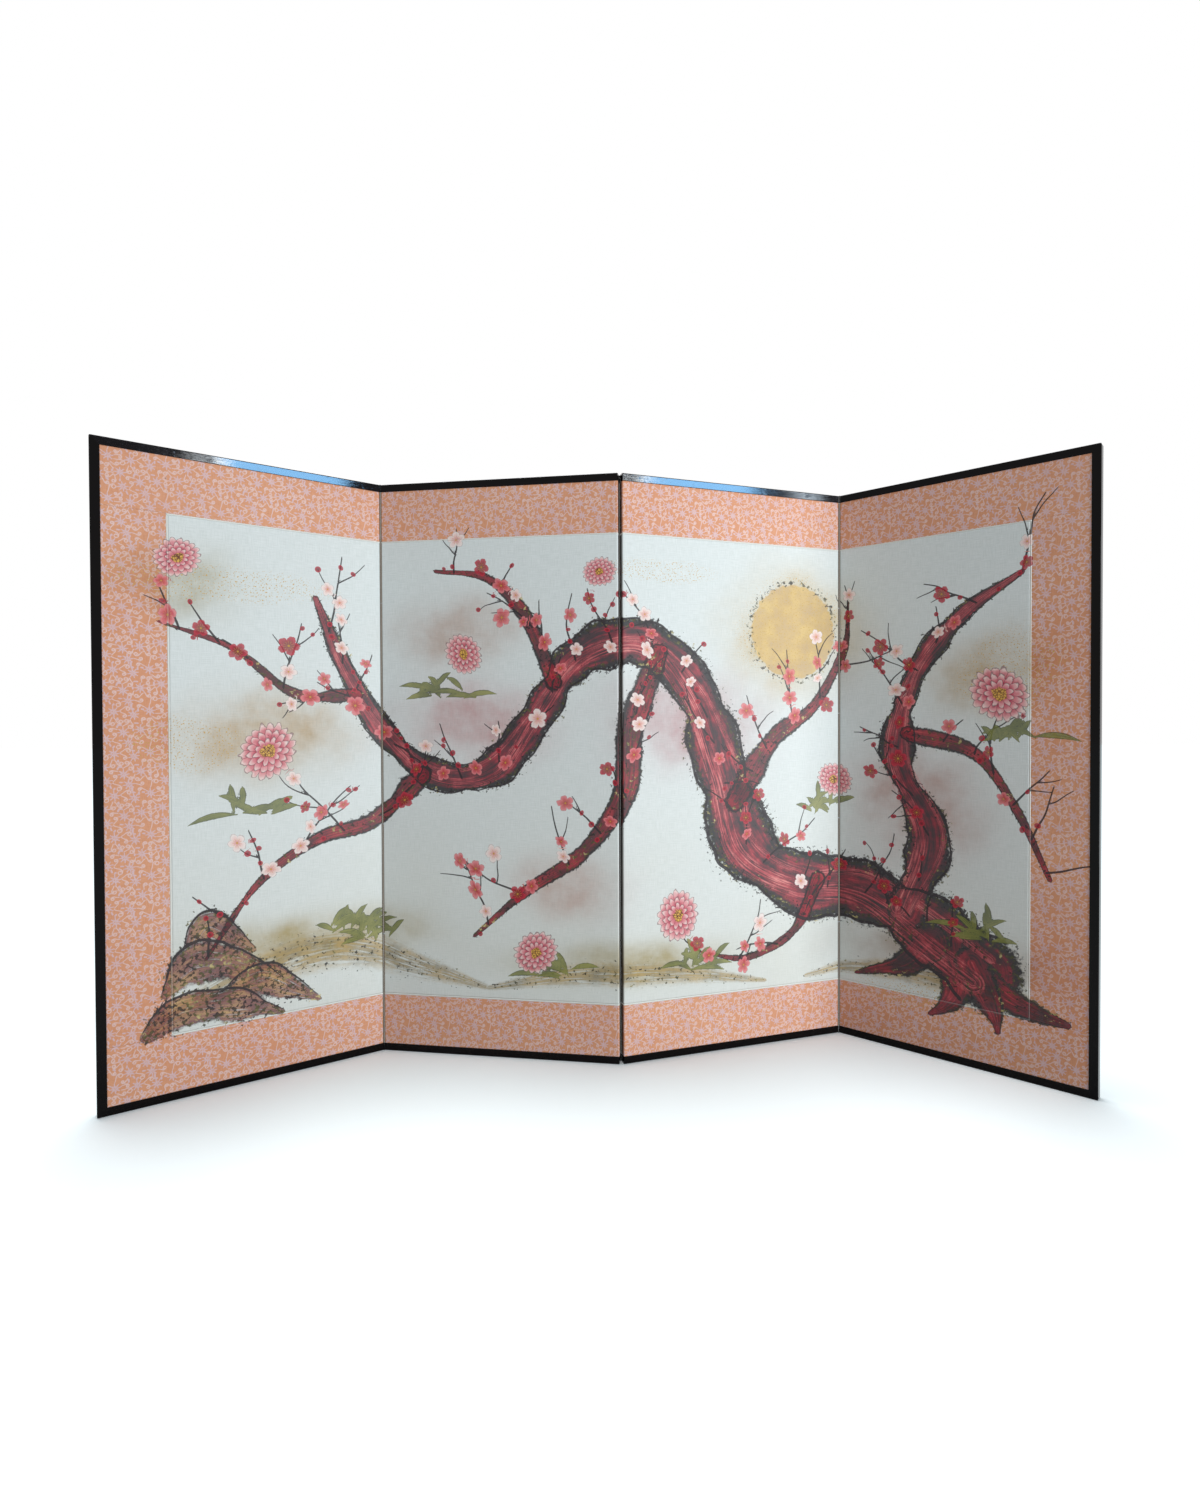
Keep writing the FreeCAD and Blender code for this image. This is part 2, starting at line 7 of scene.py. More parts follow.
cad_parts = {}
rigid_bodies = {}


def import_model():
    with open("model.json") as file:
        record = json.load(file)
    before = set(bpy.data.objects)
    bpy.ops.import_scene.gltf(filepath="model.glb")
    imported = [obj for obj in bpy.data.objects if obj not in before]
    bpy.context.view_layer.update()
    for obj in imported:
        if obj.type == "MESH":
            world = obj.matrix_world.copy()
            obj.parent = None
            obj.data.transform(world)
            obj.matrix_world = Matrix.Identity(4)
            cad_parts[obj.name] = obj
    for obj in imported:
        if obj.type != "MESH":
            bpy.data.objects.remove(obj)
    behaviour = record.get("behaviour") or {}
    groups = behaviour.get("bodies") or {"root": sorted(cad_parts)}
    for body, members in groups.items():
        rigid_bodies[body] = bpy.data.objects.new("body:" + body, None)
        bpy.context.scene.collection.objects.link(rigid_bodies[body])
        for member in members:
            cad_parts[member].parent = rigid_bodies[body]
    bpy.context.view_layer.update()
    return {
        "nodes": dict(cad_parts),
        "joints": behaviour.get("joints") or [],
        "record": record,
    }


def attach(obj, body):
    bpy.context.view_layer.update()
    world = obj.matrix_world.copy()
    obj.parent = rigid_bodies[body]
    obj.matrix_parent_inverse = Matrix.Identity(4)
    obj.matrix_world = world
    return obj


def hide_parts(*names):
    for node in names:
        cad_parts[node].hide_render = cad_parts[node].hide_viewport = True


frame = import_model()

# Looks of a four-panel byobu. Units are metres, in the frame of the packed
# model. Textiles are rebuilt as fine sheets over the panels; the lacquered
# members, cedar, papers and nails keep their solids and get their finish here.

MILLI = 0.001
PANEL_COUNT = 4
TOUCHING = 0.1 * MILLI

# Textiles
EDGE_RADIUS = 1.5 * MILLI
SHEET_THICKNESS = 0.5 * MILLI
FILLET_LIFT = 0.1 * MILLI
SILK_STEP = 2.0 * MILLI
BROCADE_STEP = 1.0 * MILLI
PAPER_STEP = 12.0 * MILLI
CORNER_STEPS = 6

# Camera, fitted to the photograph
CAMERA_PLACE = (-2.93 * MILLI, -1206.05 * MILLI, 522.90 * MILLI)
CAMERA_YAW = 0.0328
CAMERA_PITCH = -0.0140
CAMERA_ROLL = -0.0029
PHOTO_WIDTH, PHOTO_HEIGHT = 1200, 1500
FOCAL_PIXELS = 787.95
CENTRE_PIXEL = (630.5, 738.4)
SENSOR_WIDTH = 36.0
CLIP_RANGE = (0.01, 60.0)


def direction(angle):
    return np.array((math.cos(angle), math.sin(angle)))


def run_along(points):
    """Distance from the first of some points in a plane to each of them."""
    steps = np.hypot(*np.diff(points[:, :2], axis=0).T)
    return np.concatenate(((0.0,), np.cumsum(steps)))


def to_segment(du, dv, way):
    """From points given from a segment's start: share along it, and the way to it."""
    share = np.clip((du * way[0] + dv * way[1]) / (way[0] ** 2 + way[1] ** 2), 0, 1)
    return share, share * way[0] - du, share * way[1] - dv


def even(low, high, step):
    """Values from low to high, evenly spaced by about a step."""
    return np.linspace(low, high, max(2, int(round((high - low) / step)) + 1))


# Panels: axes and spans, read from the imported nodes

def node_points(name):
    return np.array([vertex.co[:] for vertex in frame["nodes"][name].data.vertices])


def long_direction(points):
    """Direction of the longest side of the hull seen from above."""
    flat = [Vector((x, y)) for x, y, _ in points]
    corners = [flat[k] for k in geometry.convex_hull_2d(flat)]
    sides = [b - a for a, b in zip(corners, corners[1:] + corners[:1])]
    longest = max(sides, key=lambda side: side.length).normalized()
    return longest if longest.x > 0 else -longest


class Panel:
    """One panel: its own axes, its body, and where its sheets begin and end."""

    def __init__(self, number):
        self.number = number
        self.body = "panel_%d" % number
        rail = node_points(self.name("bottom_rail"))
        along = long_direction(rail)
        self.along = np.array((along.x, along.y, 0.0))
        self.deep = np.array((-along.y, along.x, 0.0))
        self.origin = np.zeros(3)
        low = self.local(rail).min(axis=0)
        self.origin = self.along * low[0] + self.deep * low[1]
        self.width = self.local(rail).max(axis=0)[0]
        border, back = self.span("brocade_border"), self.span("back_paper")
        self.left = min(border[0][0], back[0][0])
        self.right = max(border[1][0], back[1][0])
        self.front, self.back = border[0][1], back[1][1]
        self.bottom, self.top = border[0][2], border[1][2]
        self.pivots = {}
        for joint in frame["joints"]:
            fold = int(joint["name"].split("_")[1])
            if fold in (number - 1, number):
                place = self.local(np.array([joint["pos_m"]]))[0]
                self.pivots["left" if fold == number - 1 else "right"] = place

    def name(self, piece):
        return "panel_%d_%s" % (self.number, piece)

    def local(self, points):
        moved = points - self.origin
        return np.stack((moved @ self.along, moved @ self.deep, moved[:, 2]), axis=1)

    def world(self, plan, heights):
        """Points over a plan path, a column of them for each of its points."""
        x, y, z = np.broadcast_arrays(plan[:, :1], plan[:, 1:], heights)
        base = self.origin + x[..., None] * self.along + y[..., None] * self.deep
        base[..., 2] = z
        return base.reshape(-1, 3)

    def span(self, piece):
        points = self.local(node_points(self.name(piece)))
        return points.min(axis=0), points.max(axis=0)

    def field(self, piece):
        """Ranges along and up of a textile, which reaches the panel's edge at a fold."""
        low, high = self.span(piece)
        left = self.left if "left" in self.pivots else low[0]
        right = self.right if "right" in self.pivots else high[0]
        return (left, right), (low[2], high[2])


def arc_points(centre, radius, first, last):
    turns = np.linspace(first, last, CORNER_STEPS + 1)
    return [(centre[0] + radius * math.cos(t), centre[1] + radius * math.sin(t)) for t in turns]


def turned_edge(panel, side, front, lift):
    """Plan path from a fold's seam to the flat face, as on the panel's left side."""
    pivot = panel.pivots[side]
    edge, mirror = (panel.left, 1) if side == "left" else (panel.right, -1)
    pivot_x, pivot_y = (pivot[0] - edge) * mirror, pivot[1]
    pivot_in_front = pivot_y < (panel.front + panel.back) / 2
    front_centre = (EDGE_RADIUS, panel.front + EDGE_RADIUS)
    back_centre = (EDGE_RADIUS, panel.back - EDGE_RADIUS)
    seam_centre = front_centre if pivot_in_front else back_centre
    seam = math.atan2(pivot_y - seam_centre[1], pivot_x - seam_centre[0]) % (2 * math.pi)
    face_centre, face = (front_centre, 1.5 * math.pi) if front else (back_centre, 0.5 * math.pi)
    outer = EDGE_RADIUS + lift
    if front == pivot_in_front:
        path = arc_points(face_centre, outer, seam, face)
    else:
        path = arc_points(seam_centre, outer, seam, math.pi)
        path += arc_points(face_centre, outer, math.pi, face)
    return [(edge + mirror * x, y) for x, y in path]


def skin_path(panel, x_range, front, step, lift):
    """Plan points of a sheet over a range, with the fold edges that it covers.

    The second result runs along the unfolded sheet and equals x on the flat face.
    """
    face = panel.front - lift if front else panel.back + lift
    left = "left" in panel.pivots and x_range[0] <= panel.left + TOUCHING
    right = "right" in panel.pivots and x_range[1] >= panel.right - TOUCHING
    flat0 = panel.left + EDGE_RADIUS if left else x_range[0]
    flat1 = panel.right - EDGE_RADIUS if right else x_range[1]
    flat = [(x, face) for x in even(flat0, flat1, step)]
    before = turned_edge(panel, "left", front, lift)[:-1] if left else []
    after = turned_edge(panel, "right", front, lift)[:-1][::-1] if right else []
    path = np.array(before + flat + after)
    run = run_along(path)
    return path, run - run[len(before)] + flat0


# Meshes

def grid_faces(columns, rows):
    index = np.arange(columns * rows).reshape(columns, rows)
    quads = np.stack((index[:-1, :-1], index[1:, :-1], index[1:, 1:], index[:-1, 1:]), axis=-1)
    return quads.reshape(-1, 4)


def rim_order(columns, rows):
    """Indices round the border of a grid, once, in order."""
    index = np.arange(columns * rows).reshape(columns, rows)
    return np.concatenate((index[:-1, 0], index[-1, :-1], index[:0:-1, -1], index[0, :0:-1]))


def add_object(name, data):
    made = bpy.data.objects.new(name, data)
    bpy.context.scene.collection.objects.link(made)
    return made


def mesh_object(name, points, faces, material):
    mesh = bpy.data.meshes.new(name)
    mesh.from_pydata(points, [], faces, shade_flat=False)
    mesh.validate()
    mesh.materials.append(material)
    return add_object(name, mesh)


class Sheet:
    """A fine sheet laid on a panel, with its cut edge turned in by its thickness.

    Its u runs along the whole unfolded screen and its v up from the floor.
    """

    def __init__(self, panel, name, ranges, front, step, material, lift):
        path, run = skin_path(panel, ranges[0], front, step, lift)
        self.u = run + (panel.number - 1) * panel.width
        self.v = even(*ranges[1], step)
        shape = len(self.u), len(self.v)
        self.border = rim_order(*shape)
        tangent = np.gradient(path, axis=0)
        tangent /= np.hypot(*tangent.T)[:, None]
        inward = np.stack((-tangent[:, 1], tangent[:, 0]), axis=1) * (1 if front else -1)
        inner = panel.world(path + inward * SHEET_THICKNESS, self.v)[self.border]
        points = np.concatenate((panel.world(path, self.v), inner))
        low = np.arange(len(self.border)) + shape[0] * shape[1]
        rim = np.stack((np.roll(self.border, -1), self.border, low, np.roll(low, -1)), axis=1)
        faces = np.concatenate((grid_faces(*shape), rim))
        made = mesh_object(name, points, faces if front else faces[:, ::-1], material)
        self.made = made
        self.put_field("cloth", np.dstack(np.broadcast_arrays(self.u[:, None], self.v, 0.0)))
        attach(made, panel.body)

    def put_field(self, name, grid):
        """Keeps a field of the grid's points, repeated on the turned-in edge."""
        flat = grid.reshape(-1, 3)
        values = np.concatenate((flat, flat[self.border]))
        attribute = self.made.data.attributes.new(name, "FLOAT_VECTOR", "POINT")
        attribute.data.foreach_set("vector", np.asarray(values, np.float32).ravel())


# Brocade pattern: scrolling vines with flowers, drawn once over a repeat

REPEAT = np.array((68.0, 57.0)) * MILLI
TILE_STEP = 0.4 * MILLI
VINE, PETAL, LEAF = 0, 1, 2
LINE_HALVES = np.array((0.55, 0.60, 0.95)) * MILLI
VINE_CLEARANCE = 1.9 * MILLI
LEAF_CLEARANCE = VINE_CLEARANCE * 1.05
FLOWER_PLACES = ((9, 9), (34, 15), (57, 5), (20, 35), (46, 33), (63, 48), (37, 53), (1, 29))
FLOWER_RAYS, FLOWER_TURN = 8, 0.13
RAY_START, RAY_END = 2.2 * MILLI, 6.3 * MILLI
HEART_LENGTH = 0.1 * MILLI
VINE_START = 8.2 * MILLI
VINE_TRIES, VINE_COUNT = 1600, 28
VINE_STEPS, SWAY_STEPS = 24, 6
SWAY, CURL, CURL_GAIN = 60 * MILLI, 150 * MILLI, 26 * MILLI
LEAF_TRIES, LEAF_COUNT = 900, 16


class Tile:
    """One repeat of the woven figure, which wraps round.

    For each point it keeps the way to the nearest woven line, in units where
    each line is as wide as a vine, and the line's kind.
    """

    def __init__(self):
        self.counts = np.round(REPEAT / TILE_STEP).astype(int)
        self.steps = REPEAT / self.counts
        u, v = [np.arange(count) * step for count, step in zip(self.counts, self.steps)]
        self.u, self.v = np.meshgrid(u, v, indexing="ij")
        self.gap = np.full(self.counts, 1.0)
        self.way = np.zeros((*self.counts, 2))
        self.kind = np.zeros(self.counts, int)

    def line(self, points, kind):
        for a, b in zip(points[:-1], points[1:]):
            du = (self.u - a[0] + REPEAT[0] / 2) % REPEAT[0] - REPEAT[0] / 2
            dv = (self.v - a[1] + REPEAT[1] / 2) % REPEAT[1] - REPEAT[1] / 2
            _, *way = to_segment(du, dv, b - a)
            away = np.hypot(*way)
            nearer = away < self.gap
            self.gap[nearer] = away[nearer]
            self.way[nearer] = np.dstack(way)[nearer] * (LINE_HALVES[VINE] / LINE_HALVES[kind])
            self.kind[nearer] = kind

    def sample(self, u, v):
        x, y = (u / self.steps[0]) % self.counts[0], (v / self.steps[1]) % self.counts[1]
        i, j = np.round(x).astype(int), np.round(y).astype(int)
        rest = np.stack(((x - i) * self.steps[0], (y - j) * self.steps[1]), axis=-1)
        i, j = i % self.counts[0], j % self.counts[1]
        kind = self.kind[i, j]
        share = LINE_HALVES[VINE] / LINE_HALVES[kind]
        return self.way[i, j] - rest * share[..., None], self.gap[i, j], kind

    def scatter(self, draw, tries, count, clearance, kind):
        """Adds up to a count of drawn lines, which keep clear of the others."""
        for _ in range(tries):
            points = draw()
            if count > 0 and self.sample(points[:, 0], points[:, 1])[1].min() > clearance:
                self.line(points, kind)
                count -= 1


def scroll(start, heading, bend, size):
    """A vine that sways, then winds up in a curl."""
    points = [start]
    for index in range(VINE_STEPS):
        curl = CURL + CURL_GAIN * (index - SWAY_STEPS)
        heading += (SWAY if index < SWAY_STEPS else -curl) * bend
        points.append(points[-1] + size * MILLI * direction(heading))
    return np.array(points)


def brocade_tile():
    tile = Tile()
    rng = np.random.default_rng(31)
    flowers = [np.array(place) * MILLI for place in FLOWER_PLACES]

    def vine():
        middle, angle = flowers[rng.integers(len(flowers))], rng.uniform(0, 2 * math.pi)
        return scroll(middle + VINE_START * direction(angle), angle + rng.normal(0, 0.5),
                      rng.choice((-1, 1)), rng.uniform(0.70, 1.15))

    def leaf():
        base, angle = rng.uniform(0, 1, 2) * REPEAT, rng.uniform(0, 2 * math.pi)
        return base + np.outer(np.linspace(0, rng.uniform(1.2, 3.2), 4) * MILLI, direction(angle))

    for index, middle in enumerate(flowers):
        for ray in range(FLOWER_RAYS):
            way = direction(2 * math.pi * (ray / FLOWER_RAYS + FLOWER_TURN * index))
            tile.line((middle + way * RAY_START, middle + way * RAY_END), PETAL)
        tile.line((middle, middle + (HEART_LENGTH, 0)), PETAL)
    tile.scatter(vine, VINE_TRIES, VINE_COUNT, VINE_CLEARANCE, VINE)
    tile.scatter(leaf, LEAF_TRIES, LEAF_COUNT, LEAF_CLEARANCE, LEAF)
    return tile


# Painting: an old plum tree in flower. Each layer keeps, for each point of the
# cloth, how far along and across the brush stroke it lies and how far from its
# middle, all but the first in half widths.

FAR_ACROSS = 6.0
STROKE_MARGIN = 6.0 * MILLI
STROKE_STEP = 5.0 * MILLI
GRID_SLACK = 1.1 * MILLI
BLOSSOM_REACH = 1.1
STROKE_PHASE, BRISTLE_PHASE = 7.3, 1.7
KNOT_STEP = 6
BRISTLE_LENGTH, BRISTLE_HALVES = 3 * MILLI, (0.5, 1.1)
# Twigs: points of each, half width, lengths in millimetres, and the least that forks
TWIG_STEPS, TWIG_HALF = 5, 1.7 * MILLI
TWIG_LENGTHS, FORK_LENGTH = (50, 150), 80 * MILLI
# Flowers along a limb or a twig: how far apart, and how far off it
LIMB_FLOWERS = (46.0 * MILLI, 5.0 * MILLI)
TWIG_FLOWERS = (26.0 * MILLI, 1.0 * MILLI)
CLUMP_LEAVES, CLUMP_REACH, LEAF_LENGTHS = 11, (30, 9), (32, 70)
# Layers with moss on them: how far it reaches, in half widths, and how thick it is
MOSSY_LAYERS = (("limbs", 1.5, 0.8), ("ground", 1.4, 0.6), ("rocks", 1.7, 1.0))
# Kinds of flower: open blossoms of three colours, buds and large chrysanthemums
PALE, ROSY, DEEP, BUD, LARGE = 0.0, 0.5, 1.0, 2.0, 3.0
BUD_RADII, FLOWER_RADII = (3.6, 5.6), (10.0, 17.0)
LARGE_TILT = 0.85
FLOWERS_WITHIN = ((0.20, 0.115), (3.82, 0.90))

# Strokes are points (panels from the left end, share of the height, half
# width in millimetres)
TRUNK_SHARES = (
    ((3.60, 0.165, 56), (3.38, 0.225, 60), (3.12, 0.27, 50), (2.82, 0.285, 46), (2.56, 0.36, 46),
     (2.44, 0.49, 42), (2.33, 0.63, 39), (2.10, 0.715, 36), (1.84, 0.69, 32), (1.66, 0.585, 28),
     (1.48, 0.50, 27), (1.24, 0.49, 24), (1.02, 0.56, 19), (0.86, 0.67, 13), (0.74, 0.79, 6)),
    ((3.30, 0.245, 36), (3.39, 0.38, 32), (3.26, 0.52, 27), (3.33, 0.66, 20), (3.52, 0.76, 13),
     (3.74, 0.82, 5)),
)
LIMB_SHARES = (
    ((2.16, 0.70, 22), (2.05, 0.58, 19), (2.02, 0.46, 16), (1.86, 0.36, 12), (1.62, 0.29, 8),
     (1.40, 0.21, 3)),
    ((2.50, 0.44, 20), (2.68, 0.55, 15), (2.88, 0.61, 10), (3.02, 0.71, 6), (3.04, 0.80, 2)),
    ((1.18, 0.49, 17), (0.96, 0.41, 13), (0.74, 0.385, 10), (0.52, 0.32, 6), (0.34, 0.21, 2)),
    ((1.74, 0.65, 15), (1.62, 0.765, 12), (1.46, 0.83, 8), (1.24, 0.845, 3)),
    ((0.90, 0.63, 11), (0.66, 0.63, 8), (0.44, 0.70, 5), (0.20, 0.735, 2)),
    ((3.30, 0.56, 15), (3.56, 0.53, 11), (3.72, 0.44, 7), (3.84, 0.33, 3)),
    ((2.90, 0.29, 14), (2.78, 0.20, 9), (2.56, 0.16, 6), (2.36, 0.175, 2)),
)
ROOT_SHARES = (
    ((3.50, 0.19, 40), (3.66, 0.135, 26), (3.78, 0.115, 14), (3.90, 0.105, 5)),
    ((3.46, 0.20, 38), (3.50, 0.13, 24), (3.46, 0.095, 12), (3.40, 0.075, 4)),
    ((3.40, 0.20, 34), (3.30, 0.155, 20), (3.18, 0.135, 10), (3.08, 0.12, 3)),
    ((3.56, 0.175, 36), (3.64, 0.105, 17), (3.66, 0.07, 5)),
)
GROUND_SHARES = (
    ((0.16, 0.12, 8), (0.50, 0.175, 34), (0.80, 0.195, 36), (1.10, 0.16, 28), (1.46, 0.12, 5)),
    ((1.46, 0.12, 5), (1.86, 0.15, 22), (2.22, 0.145, 20), (2.64, 0.115, 4)),
    ((2.84, 0.115, 4), (3.30, 0.14, 24), (3.66, 0.13, 28), (3.88, 0.105, 6)),
)
ROCK_SHARES = (
    ((0.28, 0.225, 6), (0.345, 0.265, 20), (0.42, 0.245, 14), (0.50, 0.215, 5)),
    ((0.21, 0.165, 8), (0.30, 0.205, 26), (0.44, 0.195, 24), (0.60, 0.155, 6)),
    ((0.40, 0.145, 8), (0.52, 0.165, 22), (0.64, 0.14, 15), (0.74, 0.115, 4)),
    ((0.15, 0.105, 8), (0.26, 0.135, 26), (0.44, 0.13, 27), (0.60, 0.105, 6)),
)
# Large chrysanthemums: place and radius in millimetres
CHRYSANTHEMUMS = (((0.56, 0.535), 43), ((1.66, 0.185), 36), ((1.36, 0.70), 33), ((2.24, 0.245), 40),
                  ((3.66, 0.625), 44), ((2.98, 0.475), 31), ((0.26, 0.835), 30), ((1.93, 0.835), 26))
LEAF_CLUMPS = ((0.50, 0.44), (0.86, 0.225), (1.74, 0.15), (2.34, 0.155), (3.60, 0.225), (1.30, 0.63),
               (3.72, 0.555), (0.98, 0.205), (2.92, 0.42))
SUN_PLACE, SUN_RADIUS = (2.78, 0.745), 78.0 * MILLI
# Soft colour under the strokes: place, reach in millimetres, colour, strength
WASHES = (
    ((0.55, 0.56), (110, 60), (206, 160, 96), 0.75), ((0.28, 0.80), (70, 50), (180, 160, 110), 0.55),
    ((1.40, 0.58), (110, 60), (212, 132, 132), 0.60), ((2.30, 0.58), (120, 70), (200, 104, 112), 0.55),
    ((2.78, 0.745), (105, 92), (224, 184, 110), 0.75), ((3.34, 0.44), (100, 90), (190, 116, 96), 0.60),
    ((0.75, 0.22), (150, 36), (190, 160, 84), 0.75), ((2.05, 0.17), (160, 30), (184, 158, 86), 0.70),
    ((3.45, 0.18), (150, 40), (160, 116, 84), 0.70), ((1.80, 0.30), (80, 50), (206, 140, 120), 0.50),
    ((3.64, 0.66), (90, 60), (200, 156, 92), 0.65), ((1.34, 0.74), (90, 50), (196, 140, 110), 0.60),
)
GOLD_CLOUDS = (((0.40, 0.80), (130, 26)), ((0.30, 0.55), (70, 36)), ((2.76, 0.755), (92, 78)),
               ((3.70, 0.66), (70, 60)), ((2.20, 0.84), (90, 16)), ((3.35, 0.10), (90, 22)))


def curve_through(points):
    """Even points of a smooth curve through rows of numbers."""
    rows = np.array(points, float)
    padded = np.concatenate((rows[:1] * 2 - rows[1:2], rows, rows[-1:] * 2 - rows[-2:-1]))
    out = []
    for p0, p1, p2, p3 in zip(padded[:-3], padded[1:-2], padded[2:-1], padded[3:]):
        count = max(2, int(np.hypot(*(p2 - p1)[:2]) / STROKE_STEP))
        t = np.arange(count)[:, None] / count
        out.append(p1 + 0.5 * t * (p2 - p0 + t * (2 * p0 - 5 * p1 + 4 * p2 - p3
                                                 + t * (3 * (p1 - p2) + p3 - p0))))
    return np.concatenate(out + [rows[-1:]])


class Painting:
    """All strokes, blossoms and washes, in metres along the unfolded screen."""

    def __init__(self, panel_width, height):
        self.scale = np.array((panel_width, height))
        self.strokes = []
        self.blossoms = []
        self.phase = 0.0
        self.rng = np.random.default_rng(23)
        self.compose()

    def place(self, shares):
        return np.array(shares, float) * self.scale

    def line(self, shares):
        rows = np.array(shares, float)
        return np.concatenate((rows[:, :2] * self.scale, rows[:, 2:] * MILLI), axis=1)

    def add(self, layer, rows, knots=0.0):
        """Adds a stroke; knots is the share by which its width wanders."""
        points = curve_through(rows)
        places = np.arange(0, len(points) + KNOT_STEP, KNOT_STEP)
        points[:, 2] *= 1 + np.interp(np.arange(len(points)), places,
                                      self.rng.normal(0, knots, len(places)))
        self.strokes.append((layer, points, self.phase))
        self.phase += STROKE_PHASE
        return points

    def shifted(self, rows, sideways, width_share, wobble=0.0):
        """The same stroke moved across by a share of its width, and narrower."""
        rows = rows.copy()
        way = np.gradient(rows[:, :2], axis=0)
        way /= np.hypot(*way.T)[:, None]
        across = np.stack((-way[:, 1], way[:, 0]), axis=1)
        shift = (sideways + self.rng.normal(0, wobble, len(rows)))[:, None] * rows[:, 2:3]
        rows[:, :2] += across * shift
        rows[:, 2] *= width_share
        return rows

    def compose(self):
        for shares in GROUND_SHARES:
            self.add("ground", self.line(shares))
        for place, radius in CHRYSANTHEMUMS:
            self.blossoms.append((self.place(place), radius * MILLI, self.rng.uniform(0, 6.3),
                                  LARGE, LARGE_TILT))
        for shares in ROCK_SHARES:
            rows = self.add("rocks", self.line(shares), 0.14)
            self.add("ink", self.shifted(rows[::2], 0.95, 0.07, 0.03))
            self.bristles(rows, 1)
        hosts = []
        for shares in TRUNK_SHARES:
            rows = self.line(shares)
            hosts.append(self.add("trunk", rows, 0.16))
            self.add("flesh", self.shifted(rows, 0.34, 0.40, 0.16))
            self.add("flesh", self.shifted(rows, -0.34, 0.15, 0.18))
            for side in (-1, 1):
                self.add("ink", self.shifted(hosts[-1][::3], side * 0.97, 0.05, 0.03))
                self.bristles(hosts[-1], side)
        for shares in ROOT_SHARES:
            self.add("trunk", self.line(shares), 0.12)
        for shares in LIMB_SHARES:
            hosts.append(self.add("limbs", self.line(shares), 0.14))
            self.bristles(hosts[-1], self.rng.choice((-1, 1)))
        for host in hosts:
            self.grow_twigs(host)
        for place in LEAF_CLUMPS:
            self.leaf_clump(self.place(place))

    def bristles(self, host, side):
        """Short ink strokes that stand off one side of a limb, like moss and bark."""
        rows = self.shifted(host, side, 1.0)
        way = np.gradient(host[:, :2], axis=0)
        headings = np.arctan2(way[:, 1], way[:, 0])
        for index in range(1, len(rows)):
            thick = math.sin(index * 0.21) + math.sin(index * 0.083 + side)
            if self.rng.random() < 0.18 + 0.22 * thick:
                length = self.rng.uniform(0.15, 0.45) * host[index, 2] + BRISTLE_LENGTH
                reach = length * direction(headings[index] + side * self.rng.uniform(0.35, 1.1))
                start = rows[index, :2] - reach * 0.45
                half = self.rng.uniform(*BRISTLE_HALVES) * MILLI
                stroke = np.array(((*start, half), (*(start + reach), half * 0.3)))
                self.strokes.append(("ink", stroke, self.phase))
                self.phase += BRISTLE_PHASE

    def spots(self, points, pitch, first, later):
        """Indices of points along a line, at random shares of a pitch apart."""
        spot = pitch * self.rng.uniform(*first)
        run = run_along(points)
        while spot < run[-1]:
            yield min(np.searchsorted(run, spot), len(points) - 1)
            spot += pitch * self.rng.uniform(*later)

    def grow_twigs(self, host):
        for index in self.spots(host, MILLI, (30, 60), (38, 85)):
            side = self.rng.choice((-1, 1))
            heading = math.pi / 2 + self.rng.normal(0, 0.45)
            heading += 0 if self.rng.random() < 0.75 else side
            length = self.rng.uniform(*TWIG_LENGTHS) * MILLI
            self.grow_twig(host[index, :2], heading, length, TWIG_HALF)
        self.flowers_along(host[len(host) // 3:], *LIMB_FLOWERS)

    def grow_twig(self, start, heading, length, half, forks=True):
        rows, place = [], np.array(start, float)
        for index in range(TWIG_STEPS):
            rows.append((*place, half * (1 - 0.6 * index / TWIG_STEPS)))
            heading += self.rng.normal(0, 0.16)
            place = place + length / TWIG_STEPS * direction(heading)
        points = self.add("ink", np.array(rows))
        self.flowers_along(points, *TWIG_FLOWERS)
        for share in (0.4, 0.65) if forks and length > FORK_LENGTH else ():
            if self.rng.random() < 0.7:
                turn = self.rng.choice((-1, 1)) * self.rng.uniform(0.5, 0.9)
                at = points[int(share * len(points)), :2]
                self.grow_twig(at, heading + turn, length * 0.45, half * 0.7, forks=False)

    def flowers_along(self, points, pitch, offset):
        for index in self.spots(points, pitch, (0.3, 1.0), (0.6, 1.5)):
            bud = self.rng.random() < 0.42
            radius = self.rng.uniform(*(BUD_RADII if bud else FLOWER_RADII)) * MILLI
            away = self.rng.uniform(-1, 1, 2) * (offset + radius * 0.5)
            self.blossom(points[index, :2] + away, radius, bud)

    def blossom(self, place, radius, bud):
        low, high = (self.place(corner) for corner in FLOWERS_WITHIN)
        clear = all(np.hypot(*(place - other)) > 0.95 * (radius + r)
                    for other, r, *_ in self.blossoms)
        if np.all(place > low) and np.all(place < high) and clear:
            kind = BUD if bud else self.rng.choice((PALE, ROSY, DEEP), p=(0.3, 0.35, 0.35))
            self.blossoms.append((place, radius, self.rng.uniform(0, 2 * math.pi), kind,
                                  self.rng.uniform(0.68, 1.0)))

    def leaf_clump(self, place):
        for _ in range(CLUMP_LEAVES):
            heading = self.rng.uniform(0.15, math.pi - 0.15)
            length = self.rng.uniform(*LEAF_LENGTHS) * MILLI
            start = place + self.rng.uniform(-1, 1, 2) * np.array(CLUMP_REACH) * MILLI
            way = direction(heading)
            droop = np.array((0, -0.35 * length))
            rows = [(*(start + way * length * t + droop * t * t),
                     (0.4 + 4.4 * math.sin(math.pi * t)) * MILLI) for t in (0, 0.25, 0.5, 0.75, 1.0)]
            self.add("leaves", np.array(rows))


